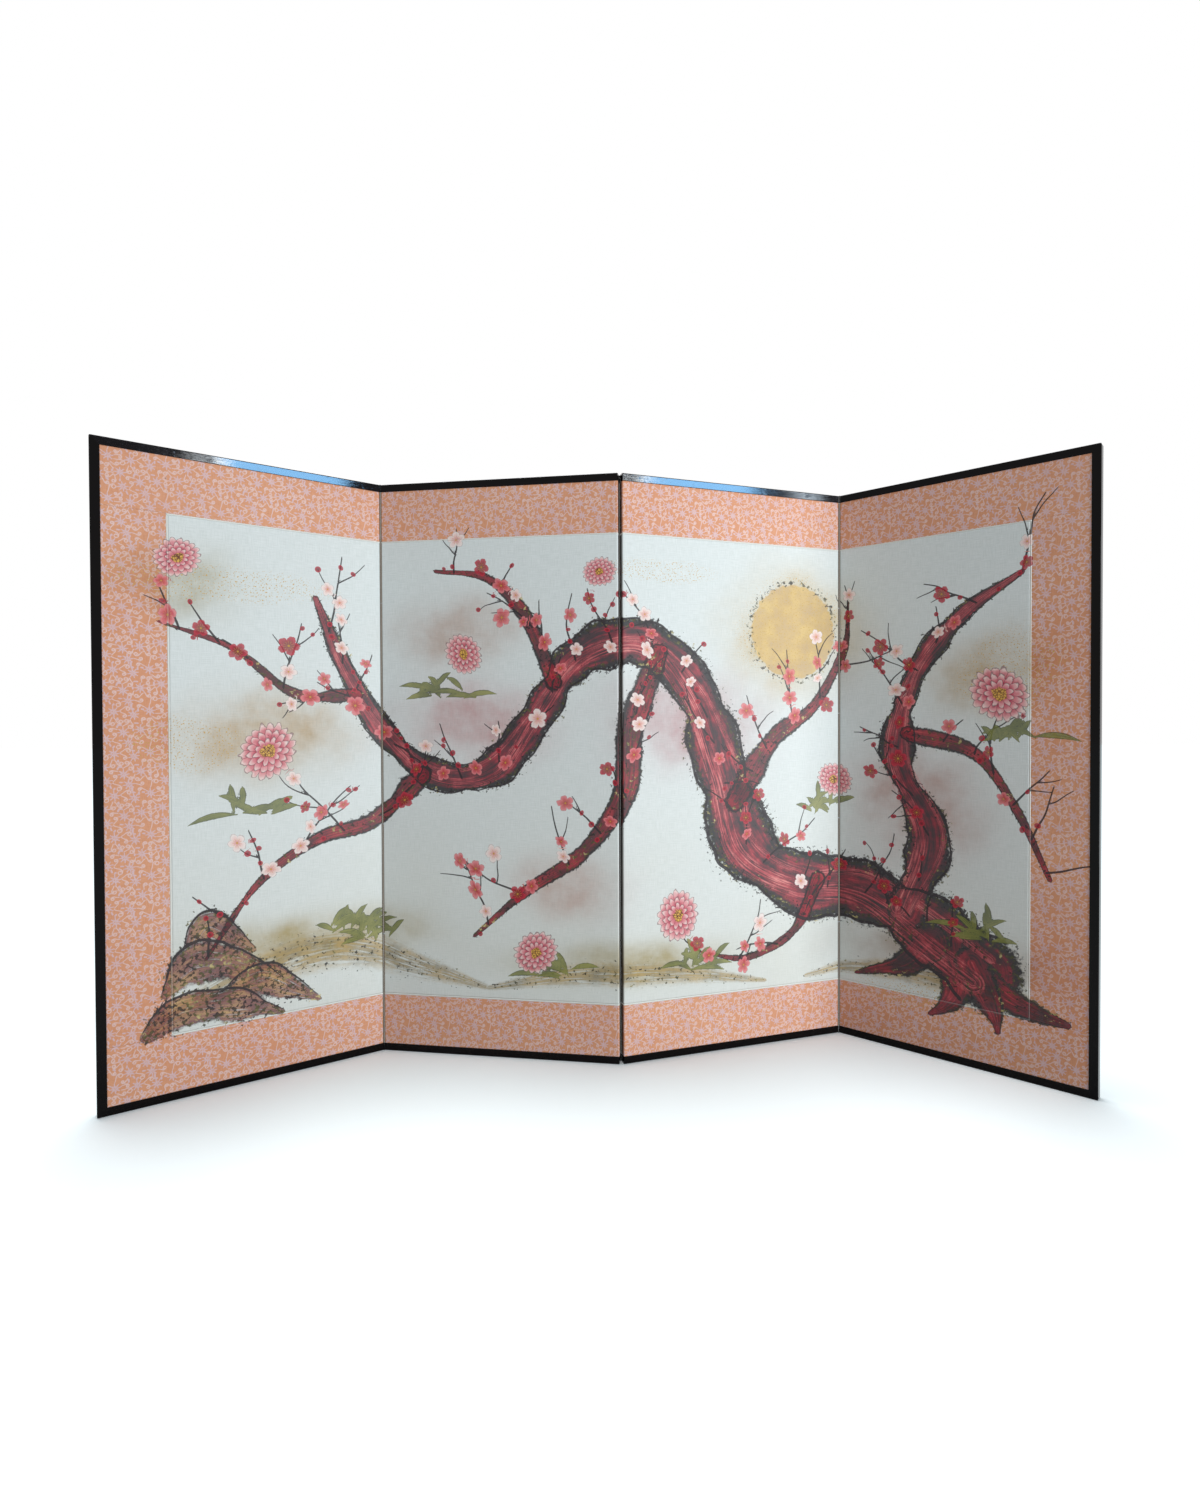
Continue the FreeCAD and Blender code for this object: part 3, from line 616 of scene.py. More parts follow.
def window(u, v, low, high, reach):
    """Slices of a grid for the points that lie within reach of a box."""
    return (slice(*np.searchsorted(u, (low[0] - reach, high[0] + reach))),
            slice(*np.searchsorted(v, (low[1] - reach, high[1] + reach))))


def lay_stroke(field, u, v, points, phase):
    """Writes one stroke into a layer's field of (along, across, distance).

    The distance counts from a little outside the stroke's middle, so that a stroke
    thinner than the cloth's grid isn't lost between two points of it.
    """
    along = phase
    reach = points[:, 2].max() + STROKE_MARGIN
    whole = window(u, v, points.min(axis=0), points.max(axis=0), reach)
    old = field[whole]
    if old.size == 0:
        return
    u, v = u[whole[0]], v[whole[1]]
    fresh = np.full(old.shape, FAR_ACROSS)
    for a, b in zip(points[:-1], points[1:]):
        i, j = window(u, v, np.minimum(a, b), np.maximum(a, b), max(a[2], b[2]) + STROKE_MARGIN)
        way = b[:2] - a[:2]
        length = math.hypot(*way)
        if i.start < i.stop and j.start < j.stop and length > 0:
            du, dv = u[i][:, None] - a[0], v[j][None, :] - a[1]
            share, *back = to_segment(du, dv, way)
            away = np.hypot(*back)
            side = np.where(way[0] * dv - way[1] * du < 0, -1.0, 1.0)
            half = a[2] + (b[2] - a[2]) * share
            part = fresh[i, j]
            nearer = away / half < np.abs(part[..., 1])
            part[..., 0][nearer] = (along + share * length)[nearer]
            part[..., 1][nearer] = (side * away / half)[nearer]
            part[..., 2][nearer] = (np.maximum(away - GRID_SLACK, 0) / half)[nearer]
        along += length
    aside = np.abs(fresh[..., 1])
    over = (aside < 0.92) | (aside < np.abs(old[..., 1]))
    old[over] = fresh[over]


def blossom_fields(painting, u, v):
    """Each point's place in its nearest flower's own axes with the flower's kind, and
    whether that flower reaches the point."""
    flowers = np.zeros((len(u), len(v), 3))
    shown, closest = np.zeros((len(u), len(v))), np.full((len(u), len(v)), np.inf)
    for place, radius, turn, kind, tilt in painting.blossoms:
        reach = radius * BLOSSOM_REACH + 3 * SILK_STEP
        i, j = window(u, v, place, place, reach)
        du, dv = (u[i][:, None] - place[0]) / radius, (v[j][None, :] - place[1]) / radius
        x = du * math.cos(turn) + dv * math.sin(turn)
        y = (dv * math.cos(turn) - du * math.sin(turn)) / tilt
        gap = np.hypot(x, y)
        nearer = gap < np.minimum(closest[i, j], reach / radius)
        flowers[i, j][nearer] = np.stack((x, y, 0 * x + kind), axis=-1)[nearer]
        shown[i, j][nearer] = (gap < BLOSSOM_REACH + SILK_STEP / radius)[nearer]
        closest[i, j][nearer] = gap[nearer]
    return flowers, shown


def smooth_patch(u, v, place, reach):
    """A soft patch with an uneven edge; its reach is in millimetres."""
    u, v = u[:, None], v[None, :]
    du, dv = (u - place[0]) / (reach[0] * MILLI), (v - place[1]) / (reach[1] * MILLI)
    ripple = 0.25 * np.sin(23 * u + 31 * v) + 0.2 * np.sin(61 * u - 47 * v)
    return np.exp(-np.maximum(du * du + dv * dv + ripple * 0.8, 0.0) ** 1.3)


def painted_fields(painting, u, v):
    """Every field that the painted textiles' shader reads, over a grid."""
    shape = (len(u), len(v), 3)
    fields = {layer: np.full(shape, FAR_ACROSS) for layer in BRUSHES}
    for layer, points, phase in painting.strokes:
        lay_stroke(fields[layer], u, v, points, phase)
    fields["blossom"], shown = blossom_fields(painting, u, v)
    sun = painting.place(SUN_PLACE)
    x, y = (u[:, None] - sun[0]) / SUN_RADIUS, (v[None, :] - sun[1]) / SUN_RADIUS
    fields["sun"] = np.dstack(np.broadcast_arrays(x, y, shown))
    fields["wash"], alpha, gold = np.ones(shape) * 0.8, np.zeros(shape[:2]), np.zeros(shape[:2])
    for place, reach, colour, strength in WASHES:
        part = strength * smooth_patch(u, v, painting.place(place), reach)
        total = part + alpha * (1 - part)
        share = (part / np.maximum(total, 1e-6))[..., None]
        fields["wash"] = fields["wash"] * (1 - share) + np.array(rgb(*colour)[:3]) * share
        alpha = total
    for place, reach in GOLD_CLOUDS:
        gold = np.maximum(gold, smooth_patch(u, v, painting.place(place), reach))
    moss = np.clip(1 - np.abs(fields["trunk"][..., 2] - 0.85) / 0.6, 0, 1)
    for layer, reach, share in MOSSY_LAYERS:
        moss = np.maximum(moss, np.clip(reach - fields[layer][..., 2], 0, 1) * share)
    moss = np.maximum(moss, np.clip(1 - np.abs(np.hypot(x, y) - 1.04) / 0.16, 0, 1))
    fields["dust"] = np.dstack((moss, gold, alpha))
    return fields


# Node graphs

def operator(operation, swapped=False):
    """An operator that adds a math node for a value and another value or number."""
    def apply(first, second):
        values = (second, first) if swapped else (first, second)
        return first.graph.math(operation, *values)
    return apply


class Value:
    """What a node gives out; sums and products of values add nodes of their own."""

    def __init__(self, graph, socket):
        self.graph = graph
        self.socket = socket

    def __abs__(self):
        return self.graph.math("ABSOLUTE", self)

    __add__ = __radd__ = operator("ADD")
    __mul__ = __rmul__ = operator("MULTIPLY")
    __sub__, __rsub__ = operator("SUBTRACT"), operator("SUBTRACT", swapped=True)
    __truediv__ = operator("DIVIDE")
    __gt__, __lt__ = operator("GREATER_THAN"), operator("LESS_THAN")


class Graph:
    """The nodes of a material or a world, with short ways to add them."""

    def __init__(self, name, world=False):
        self.owner = (bpy.data.worlds if world else bpy.data.materials).new(name)
        self.owner.use_nodes = True
        self.tree = self.owner.node_tree
        self.tree.nodes.clear()

    def node(self, kind, inputs, **settings):
        made = self.tree.nodes.new("ShaderNode" + kind)
        for key, value in settings.items():
            setattr(made, key, value)
        for key, value in inputs.items():
            if isinstance(value, Value):
                self.tree.links.new(value.socket, made.inputs[key])
            else:
                made.inputs[key].default_value = value
        return made

    def value(self, kind, inputs, output=0, **settings):
        return Value(self, self.node(kind, inputs, **settings).outputs[output])

    def math(self, operation, *values, clamp=False):
        inputs = dict(enumerate(values))
        return self.value("Math", inputs, operation=operation, use_clamp=clamp)

    def most(self, first, *others):
        for other in others:
            first = self.math("MAXIMUM", first, other)
        return first

    def length(self, x, y):
        return self.math("SQRT", x * x + y * y)

    def field(self, name):
        return self.value("Attribute", {}, "Vector", attribute_name=name)

    def split(self, vector):
        node = self.node("SeparateXYZ", {0: vector})
        return [Value(self, socket) for socket in node.outputs]

    def parts(self, name):
        return self.split(self.field(name))

    def object_place(self):
        return self.value("TexCoord", {}, "Object")

    def looked_at(self):
        """1 for what the camera sees, also in mirrors and through glass, or else 0."""
        path = self.node("LightPath", {})
        return self.most(*[Value(self, path.outputs["Is %s Ray" % kind])
                           for kind in ("Camera", "Glossy", "Transmission")])

    def scaled(self, vector, factors):
        return self.value("VectorMath", {0: vector, 1: factors}, operation="MULTIPLY")

    def noise(self, vector, scale, detail=2.0, rough=0.5):
        inputs = {"Vector": vector, "Scale": scale, "Detail": detail, "Roughness": rough}
        return self.value("TexNoise", inputs)

    def soft(self, value, low, high):
        """0 up to low, 1 from high on and smooth between; high may be the lesser."""
        inputs = {"Value": value, "From Min": low, "From Max": high}
        return self.value("MapRange", inputs, interpolation_type="SMOOTHSTEP")

    def span(self, value, low, high, to_low, to_high):
        inputs = {"Value": value, "From Min": low, "From Max": high,
                  "To Min": to_low, "To Max": to_high}
        return self.value("MapRange", inputs)

    def uneven(self, noise, reach):
        """A noise as a shift by up to reach either way."""
        return self.span(noise, 0.3, 0.7, -reach, reach)

    def ramp(self, value, stops):
        """Colours over a value, as rows of a place and the colour's 0 to 255 steps."""
        made = self.node("ValToRGB", {"Fac": value})
        elements = made.color_ramp.elements
        while len(elements) < len(stops):
            elements.new(1.0)
        for element, (place, colour) in zip(elements, stops):
            element.position = place
            element.color = rgb(*colour)
        return Value(self, made.outputs["Color"])

    def mix(self, factor, a, b, blend="MIX"):
        return self.value("Mix", {0: factor, 6: a, 7: b}, 2, data_type="RGBA", blend_type=blend)

    def bump(self, height, distance, strength):
        inputs = {"Height": height, "Distance": distance, "Strength": strength}
        return self.value("Bump", inputs)

    def finish(self, **sockets):
        """Ends a material; each socket's name has underscores for its spaces."""
        inputs = {name.replace("_", " "): value for name, value in sockets.items()}
        self.node("OutputMaterial", {"Surface": self.value("BsdfPrincipled", inputs)})
        return self.owner


def rgb(red, green, blue):
    """A colour given in the 0 to 255 steps of a picture, for a shader."""
    steps = [value / 255 for value in (red, green, blue)]
    linear = [s / 12.92 if s <= 0.04045 else ((s + 0.055) / 1.055) ** 2.4 for s in steps]
    return (*linear, 1.0)


# Materials of the solids, with the depth of their relief

LACQUER_WAVE, WOOD_GRAIN, PAPER_FIBRE = 0.12 * MILLI, 0.1 * MILLI, 0.05 * MILLI


def black_lacquer(name, streak):
    """Worn black lacquer, with faint streaks along the member."""
    g = Graph(name)
    place = g.object_place()
    cloud = g.noise(place, 9.0, 3.0)
    dust = g.soft(g.noise(place, 260.0), 0.60, 0.75)
    worn = g.soft(g.noise(place, 45.0, 4.0, 0.65), 0.60, 0.70)
    rough = g.span(cloud, 0.35, 0.65, 0.03, 0.08) + dust * 0.10 + worn * 0.12
    wave = g.noise(place, 16.0, 1.0) + g.noise(g.scaled(place, streak), 1.0) * 0.8
    return g.finish(Base_Color=g.mix(cloud, rgb(6, 5, 6), rgb(14, 8, 8)), Roughness=rough,
                    Normal=g.bump(wave, LACQUER_WAVE, 0.5), Specular_IOR_Level=0.09)


def wood(name, light, dark, scale, rough):
    g = Graph(name)
    place = g.object_place()
    fibre = g.noise(g.scaled(place, (1.0, 1.0, 0.06)), scale, 4.0, 0.6)
    grain = g.noise(g.scaled(place, (1.0, 1.0, 0.12)), scale / 6)
    colour = g.ramp(fibre * 0.6 + grain * 0.4, ((0.35, dark), (0.62, light)))
    return g.finish(Base_Color=colour, Roughness=rough, Normal=g.bump(fibre, WOOD_GRAIN, 0.5))


# Folds as (x, y, how far the painted crease shade reaches): far at a fold that opens to the front
CREASE_SHADE_REACHES = {"fold_1": 2.0 * MILLI, "fold_2": 12.0 * MILLI, "fold_3": 2.0 * MILLI}
CREASES = [(*joint["pos_m"][:2], CREASE_SHADE_REACHES[joint["name"]]) for joint in frame["joints"]]


def painted_crease_shade(g):
    """Painted shade along each fold, darkest at the joint's axis."""
    shade = 0.0
    x, y, _ = g.split(g.object_place())
    for axis_x, axis_y, reach in CREASES:
        away = g.length(x - axis_x, y - axis_y)
        shade = g.most(shade, g.soft(away, 1.2 * reach, 0.7 * reach))
    return shade * 0.85


def paper(name, light, dark, creased=False):
    g = Graph(name)
    place = g.object_place()
    fibre = g.noise(g.scaled(place, (1.0, 1.0, 0.3)), 420.0, 4.0, 0.7)
    cloud = g.noise(place, 14.0, 3.0)
    colour = g.mix((fibre + cloud) * 0.5, dark, light)
    if creased:
        # Creased paper gets painted shade along the folds, in a dark brown
        colour = g.mix(painted_crease_shade(g), colour, rgb(84, 66, 54))
    return g.finish(Base_Color=colour, Roughness=0.85, Normal=g.bump(fibre, PAPER_FIBRE, 0.6))


SOLID_FINISHES = {
    "black_lacquer": black_lacquer("black_lacquer_rails", (6.0, 6.0, 700.0)),
    "stile": black_lacquer("black_lacquer_stiles", (500.0, 500.0, 6.0)),
    "cedar": wood("cedar", (214, 178, 132), (168, 120, 78), 500.0, 0.7),
    "bamboo": wood("bamboo", (208, 184, 122), (172, 140, 84), 900.0, 0.5),
    "under_paper": paper("under_paper", rgb(232, 226, 208), rgb(206, 197, 174)),
    "hinge_paper": paper("hinge_paper", rgb(226, 216, 192), rgb(198, 184, 156), True),
}


def dress_solids():
    slots = {part["node"]: part.get("material_slot") for part in frame["record"]["subparts"]}
    for name, made in frame["nodes"].items():
        slot = slots.get(name)
        finish = SOLID_FINISHES.get("stile" if slot == "black_lacquer" and "stile" in name else slot)
        if finish is not None:
            for place in made.material_slots:
                place.material = finish


# Layers from the lowest up. Of each: how wet its brush is, how well its paint covers,
# how far its edge fades, how dark the paint pools there; colours from thin to thick.
BRUSHES = {
    "ground": ((0.58, 0.72, 0.75, 0.0), ((0.24, (206, 168, 84)), (0.38, (168, 134, 62)),
                                         (0.48, (110, 92, 48)), (0.60, (52, 44, 34)))),
    "rocks": ((0.64, 0.90, 0.20, 0.14), ((0.26, (206, 164, 104)), (0.36, (168, 120, 84)),
                                         (0.44, (122, 62, 62)), (0.56, (40, 30, 36)))),
    "trunk": ((0.80, 0.96, 0.12, 0.26), ((0.24, (212, 104, 108)), (0.31, (168, 48, 62)),
                                         (0.38, (114, 32, 46)), (0.45, (60, 26, 36)),
                                         (0.55, (22, 18, 24)))),
    "flesh": ((0.50, 0.80, 0.35, 0.05), ((0.28, (238, 156, 150)), (0.38, (214, 100, 106)),
                                         (0.48, (162, 48, 62)), (0.60, (84, 28, 40)))),
    "limbs": ((0.80, 0.96, 0.12, 0.26), ((0.24, (200, 78, 78)), (0.34, (156, 40, 52)),
                                         (0.43, (92, 26, 38)), (0.54, (28, 20, 24)))),
    "ink": ((0.76, 0.94, 0.12, 0.1), ((0.30, (40, 30, 34)), (0.70, (14, 12, 16)))),
    "leaves": ((0.72, 0.90, 0.12, 0.20), ((0.28, (160, 156, 84)), (0.44, (108, 112, 54)),
                                          (0.60, (52, 58, 34)))),
}
SUN_PALETTE = ((0.35, (196, 150, 74)), (0.65, (224, 190, 122)))
MOSS_PALETTE = ((0.44, (22, 20, 24)), (0.58, (86, 84, 46)), (0.66, (206, 188, 130)))
# Petals from the heart outward
PALE_PALETTE = ((0.0, (226, 132, 140)), (0.45, (246, 206, 200)), (0.95, (250, 238, 232)))
ROSY_PALETTE = ((0.0, (150, 30, 48)), (0.45, (206, 74, 90)), (0.95, (232, 140, 140)))
DEEP_PALETTE = ((0.0, (92, 16, 30)), (0.6, (160, 26, 46)), (0.95, (198, 54, 70)))
LARGE_PALETTE = ((0.0, (188, 66, 88)), (0.40, (226, 142, 148)), (0.85, (246, 220, 214)))
# Rings of a chrysanthemum from outside in: petals, inner and outer radius, turn
PETAL_RINGS = ((19, 0.66, 1.04, 0.0), (15, 0.44, 0.80, 0.5), (11, 0.20, 0.54, 1.1))


def brush(g, layer, cloth, threads):
    """How much paint a layer's strokes leave, and its colour."""
    along, across, away = g.parts(layer)
    (wet, share, fade, pooling), stops = BRUSHES[layer]
    hairs = g.noise(g.value("CombineXYZ", {0: along * 14.0, 1: across * 6.0}), 1.0, 5.0, 0.68)
    pool = g.span(g.noise(cloth, 24.0, 4.0, 0.6), 0.35, 0.65, 0.26, 0.74)
    side = g.most(away, abs(across)) + g.uneven(g.noise(cloth, 140.0, 4.0, 0.65), 0.12)
    body = g.soft(side, 1.05, 1.02 - fade)
    grip = g.soft(g.uneven(threads, 0.06) + wet - hairs, -0.06, 0.10)
    rim = g.soft(side, 0.62, 0.98) * pooling
    tone = g.math("ADD", (hairs * 0.62 + pool * 0.38) * 0.82, rim, clamp=True)
    return body * grip * share, g.ramp(tone, stops)


def paint_chrysanthemums(g, colour, cloth, radius, angle, large):
    """Large flowers of three rings of petals round a yellow heart."""
    near = radius + g.uneven(g.noise(cloth, 110.0, 3.0), 0.07)
    shown, ink = 0.0, 0.0
    for count, inner, outer, turn in PETAL_RINGS:
        middle = abs(g.math("SINE", angle * (count / 2) + turn))
        tip = near + (1.0 - middle) * 0.16
        ring = g.soft(tip, outer, outer - 0.03) * large
        petal = g.ramp(g.span(near, inner, outer, 0.0, 1.0), LARGE_PALETTE)
        colour = g.mix(ring * 0.92, colour, petal)
        seam = g.soft(middle, 0.16, 0.05) * ring
        rim = g.soft(abs(tip - (outer - 0.02)), 0.035, 0.01) * large
        ink = g.most((1.0 - ring) * ink, seam, rim)
        shown = g.most(shown, ring)
    colour = g.mix(ink * 0.62, colour, rgb(88, 22, 40))
    cells = g.value("TexVoronoi", {"Vector": cloth, "Scale": 260.0}, "Distance",
                    feature="DISTANCE_TO_EDGE")
    grains = g.mix(g.soft(cells, 0.04, 0.14), rgb(96, 52, 30), rgb(226, 178, 84))
    heart = g.soft(near, 0.27, 0.23) * large
    return g.mix(heart * 0.95, colour, grains), g.most(shown, ink)


def paint_blossoms(g, colour, cloth, threads):
    """Five-petalled blossoms and buds, drawn from their own flower's axes."""
    x, y, kind = g.parts("blossom")
    shown = g.parts("sun")[2] > 0.5
    is_open, is_small = kind < (DEEP + BUD) / 2, kind < (BUD + LARGE) / 2
    radius, angle = g.length(x, y), g.math("ARCTAN2", y, x)
    lobe = g.math("POWER", abs(g.math("COSINE", angle * 2.5)), 0.55)
    edge = lobe * 0.42 + 0.56 + g.uneven(g.noise(cloth, 210.0), 0.07)
    bud = (1.0 - is_open) * is_small
    edge = edge * (1.0 - bud) + bud * 0.9
    inside = edge - radius
    cover = g.soft(inside, -0.03, 0.06) * g.span(threads, 0.3, 0.7, 0.80, 1.0) * is_small * shown
    pale, rosy, deep = [g.ramp(radius / edge, stops)
                        for stops in (PALE_PALETTE, ROSY_PALETTE, DEEP_PALETTE)]
    petals = g.mix(g.soft(kind, 0.2, 0.4), pale, rosy)
    petals = g.mix(g.soft(kind, 0.7, 0.9), petals, deep)
    petals = g.mix(g.soft(inside, 0.10, 0.02) * 0.6, petals, rgb(128, 36, 48))
    colour = g.mix(cover, colour, petals)
    large = (1.0 - is_small) * shown
    colour, bloom = paint_chrysanthemums(g, colour, cloth, radius, angle, large)
    ray = abs(g.math("SINE", angle * 5.5))
    stamen = g.soft(ray, 0.30, 0.12) * g.soft(radius, 0.50, 0.44) * g.soft(radius, 0.12, 0.16)
    stamen = g.most(stamen, g.soft(radius, 0.13, 0.09)) * is_open * shown
    return g.mix(stamen * 0.85, colour, rgb(206, 158, 62)), g.most(cover, bloom)


def paint_over(g, colour, cloth, threads):
    """The whole painting over a textile's own colour, and how much of it shows."""
    grain = g.noise(cloth, 30.0, 4.0, 0.6)
    moss, gold, wet = g.parts("dust")
    seep = g.math("MULTIPLY", wet, g.span(grain, 0.3, 0.7, 0.55, 1.1), clamp=True)
    colour = g.mix(seep, colour, g.field("wash"), "MULTIPLY")
    ring = g.length(*g.parts("sun")[:2]) + g.uneven(g.noise(cloth, 90.0, 3.0), 0.03)
    disc = g.soft(ring, 1.01, 0.97) * g.span(grain, 0.3, 0.7, 0.60, 0.92)
    colour = g.mix(disc, colour, g.ramp(grain, SUN_PALETTE))
    leaf = g.soft(g.noise(cloth, 420.0, 1.0), 0.62, 0.66) * g.soft(gold, 0.12, 0.6)
    colour = g.mix(leaf, colour, rgb(206, 166, 84))
    total = g.most(disc, leaf)
    for layer in BRUSHES:
        cover, paint = brush(g, layer, cloth, threads)
        colour = g.mix(cover, colour, paint)
        total = g.most(total, cover)
        if layer == "limbs":
            spots = g.noise(cloth, 170.0, 3.0, 0.6) + g.span(moss, 0.0, 1.0, -0.14, 0.05)
            dots = g.soft(spots, 0.56, 0.60) * g.soft(moss, 0.05, 0.25) * 0.88
            colour = g.mix(dots, colour, g.ramp(grain, MOSS_PALETTE))
            total = g.most(total, dots)
    colour, petals = paint_blossoms(g, colour, cloth, threads)
    return colour, g.most(total, petals)


# Textiles and back paper. Pitches are of threads, in the weave, and of what is woven
# or printed; depths are of the relief.

SILK_PITCH, SLUB_PITCH = 0.9 * MILLI, 3.0 * MILLI
BROCADE_PITCH, TWILL_PITCH = 0.6 * MILLI, 0.9 * MILLI
CIRCLE_PITCH = 34.0 * MILLI
SILK_DEPTH, BROCADE_DEPTH = 0.12 * MILLI, 0.14 * MILLI
FILLET_DEPTH, BACK_DEPTH = 0.08 * MILLI, 0.06 * MILLI
# Colour of the painted shade along the folds of the silk and brocade
CREASE_SHADE_COLOUR = rgb(52, 36, 28)


def weave(g, cloth, pitch):
    """Height of a plain weave with uneven threads, about 0 to 1."""
    warp = g.noise(g.scaled(cloth, (1 / pitch, 0.05 / pitch, 1.0)), 1.0, 2.0, 0.6)
    weft = g.noise(g.scaled(cloth, (0.05 / pitch, 1 / pitch, 1.0)), 1.0, 2.0, 0.6)
    return (warp + weft) * 0.5


def silk_material():
    g = Graph("painted_silk")
    cloth = g.field("cloth")
    threads, slub = weave(g, cloth, SILK_PITCH), weave(g, cloth, SLUB_PITCH)
    # Warmer and darker towards the bottom of the silk, in soft clouds
    lower_warmth = g.soft(g.split(cloth)[1], 0.55, 0.05) * g.noise(cloth, 5.0, 3.0) * 0.5
    colour = g.mix(g.soft(threads, 0.35, 0.65), rgb(220, 224, 222), rgb(234, 237, 236))
    colour = g.mix(g.soft(slub, 0.54, 0.72) * 0.14, colour, rgb(206, 207, 202))
    colour = g.mix(lower_warmth, colour, rgb(222, 214, 194))
    colour, paint = paint_over(g, colour, cloth, threads)
    # Painted shade along the folds darkens the silk's colour
    return g.finish(Base_Color=g.mix(painted_crease_shade(g), colour, CREASE_SHADE_COLOUR),
                    Roughness=g.span(paint, 0.0, 1.0, 0.62, 0.48),
                    Normal=g.bump(threads, SILK_DEPTH, 0.5),
                    Sheen_Weight=0.12, Sheen_Roughness=0.4, Specular_IOR_Level=0.3)


def brocade_material():
    g = Graph("brocade")
    cloth = g.field("cloth")
    threads = weave(g, cloth, BROCADE_PITCH)
    u, v, _ = g.split(cloth)
    twill = g.math("SINE", (u + v) * (2 * math.pi / TWILL_PITCH))
    way_u, way_v, gap = g.parts("figure")
    kind, shade, _ = g.parts("kind")
    off = g.length(way_u, way_v) + g.uneven(threads, 0.10)
    figure = g.soft(off, 0.75, 0.42) * g.soft(gap, 1.45, 1.20)
    ground = g.mix(g.soft(threads, 0.35, 0.65), rgb(218, 150, 114), rgb(238, 174, 136))
    ground = g.mix(g.span(shade, 0.0, 1.0, 0.0, 0.4), ground, rgb(218, 144, 106))
    raised = g.mix(g.soft(kind, 0.3, 0.7), rgb(240, 208, 204), rgb(228, 200, 208))
    colour = g.mix(figure * 0.84, ground, raised)
    flecks = g.soft(g.noise(cloth, 75.0), 0.76, 0.80)
    colour = g.mix(flecks * 0.6, colour, rgb(110, 70, 52))
    worn = g.span(g.noise(cloth, 7.0, 3.0), 0.35, 0.65, 0.0, 0.16)
    colour = g.mix(worn, colour, rgb(196, 128, 104))
    colour, _ = paint_over(g, colour, cloth, threads)
    height = figure * 0.9 + threads * 0.5 + twill * 0.10
    # Painted shade along the folds darkens the brocade's colour
    return g.finish(Base_Color=g.mix(painted_crease_shade(g), colour, CREASE_SHADE_COLOUR),
                    Roughness=g.span(figure, 0.0, 1.0, 0.58, 0.42),
                    Normal=g.bump(height, BROCADE_DEPTH, 0.6),
                    Sheen_Weight=0.15, Sheen_Roughness=0.35, Specular_IOR_Level=0.35)


def fillet_material():
    g = Graph("pale_fillet")
    cloth = g.field("cloth")
    threads = weave(g, cloth, BROCADE_PITCH)
    colour = g.mix(threads, rgb(226, 224, 216), rgb(246, 245, 240))
    painted, _ = paint_over(g, colour, cloth, threads)
    return g.finish(Base_Color=g.mix(0.9, colour, painted), Roughness=0.6,
                    Normal=g.bump(threads, FILLET_DEPTH, 0.5))


def back_material():
    """Dull green paper printed with faint interlocking circles."""
    g = Graph("back_paper")
    cloth = g.field("cloth")
    fibre = g.noise(g.scaled(cloth, (1.0, 0.4, 1.0)), 500.0, 4.0, 0.7)
    u, v = [abs(g.math("FRACT", part / CIRCLE_PITCH) - 0.5) for part in g.split(cloth)[:2]]
    ring = 1.0
    for a, b in ((u, v), (1.0 - u, v), (u, 1.0 - v)):
        ring = g.math("MINIMUM", ring, abs(g.length(a, b) - math.sqrt(0.5)))
    wear = g.span(g.noise(cloth, 60.0, 3.0), 0.35, 0.65, 0.25, 0.8)
    cloud = g.span(g.noise(cloth, 6.0, 4.0), 0.35, 0.65, 0.0, 0.35)
    colour = g.mix(fibre, rgb(84, 98, 82), rgb(104, 118, 98))
    colour = g.mix(cloud, colour, rgb(96, 92, 68))
    colour = g.mix(g.soft(ring, 0.035, 0.020) * wear, colour, rgb(140, 144, 112))
    return g.finish(Base_Color=colour, Roughness=0.8, Normal=g.bump(fibre, BACK_DEPTH, 0.6))


# Sheets of each panel

def put_figure(sheet, tile, shift):
    """The way to the woven lines in millimetres, their kind, and a soft shade."""
    along, up = np.meshgrid(sheet.u, sheet.v, indexing="ij")
    along = along + shift
    way, gap, kind = tile.sample(along, up)
    shade = 0.5 + 0.5 * np.sin(along * 9.0) * np.sin(up * 13.0 + along * 4.0)
    sheet.put_field("figure", np.dstack((way, gap)) / MILLI)
    sheet.put_field("kind", np.dstack((kind, shade, 0 * kind)))


def border_strips(kind, outer, inner):
    """Ranges of the strips that an outer field shows round an inner one."""
    (outer_x, outer_z), (inner_x, inner_z) = outer, inner
    strips = {kind + "_bottom": (outer_x, (outer_z[0], inner_z[0])),
              kind + "_top": (outer_x, (inner_z[1], outer_z[1]))}
    for low, high in ((outer_x[0], inner_x[0]), (inner_x[1], outer_x[1])):
        if low < high:
            strips[kind + "_side"] = ((low, high), inner_z)
    return strips


def dress_panel(panel, looks, art, tile):
    whole = (panel.left, panel.right), (panel.bottom, panel.top)
    fillet, silk = panel.field("pale_fillet"), panel.field("painting_silk")
    pieces = {"painting": silk, **border_strips("brocade", whole, fillet),
              **border_strips("fillet", fillet, silk), "back": whole}
    name = panel.name
    for piece, ranges in pieces.items():
        kind = piece.split("_")[0]
        step, lift, material = looks[kind]
        sheet = Sheet(panel, name(piece), ranges, kind != "back", step, material, lift)
        if kind != "back":
            for field, grid in painted_fields(art, sheet.u, sheet.v).items():
                sheet.put_field(field, grid)
        if kind == "brocade":
            put_figure(sheet, tile, REPEAT[0] / 3 if piece == "brocade_side" else 0.0)
        sheet.made
        if kind in ("painting", "brocade"):
            size = [np.ptp(np.float32(axis)) for axis in (sheet.u, sheet.v)]
            panel.name("under_papers")
    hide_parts(name("painting_silk"))
    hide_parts(name("brocade_border"))
    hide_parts(name("pale_fillet"))
    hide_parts(name("back_paper"))


# Black rolls on each fold's axis where no hinge strip crosses it, as between the
# rail ends: dark fillers that stand in for the shade in the gap. They lie on the joint's axis, so the
# panels turn round them.

ROLL_RADIUS = 0.75 * MILLI
ROLL_SIDES = 12


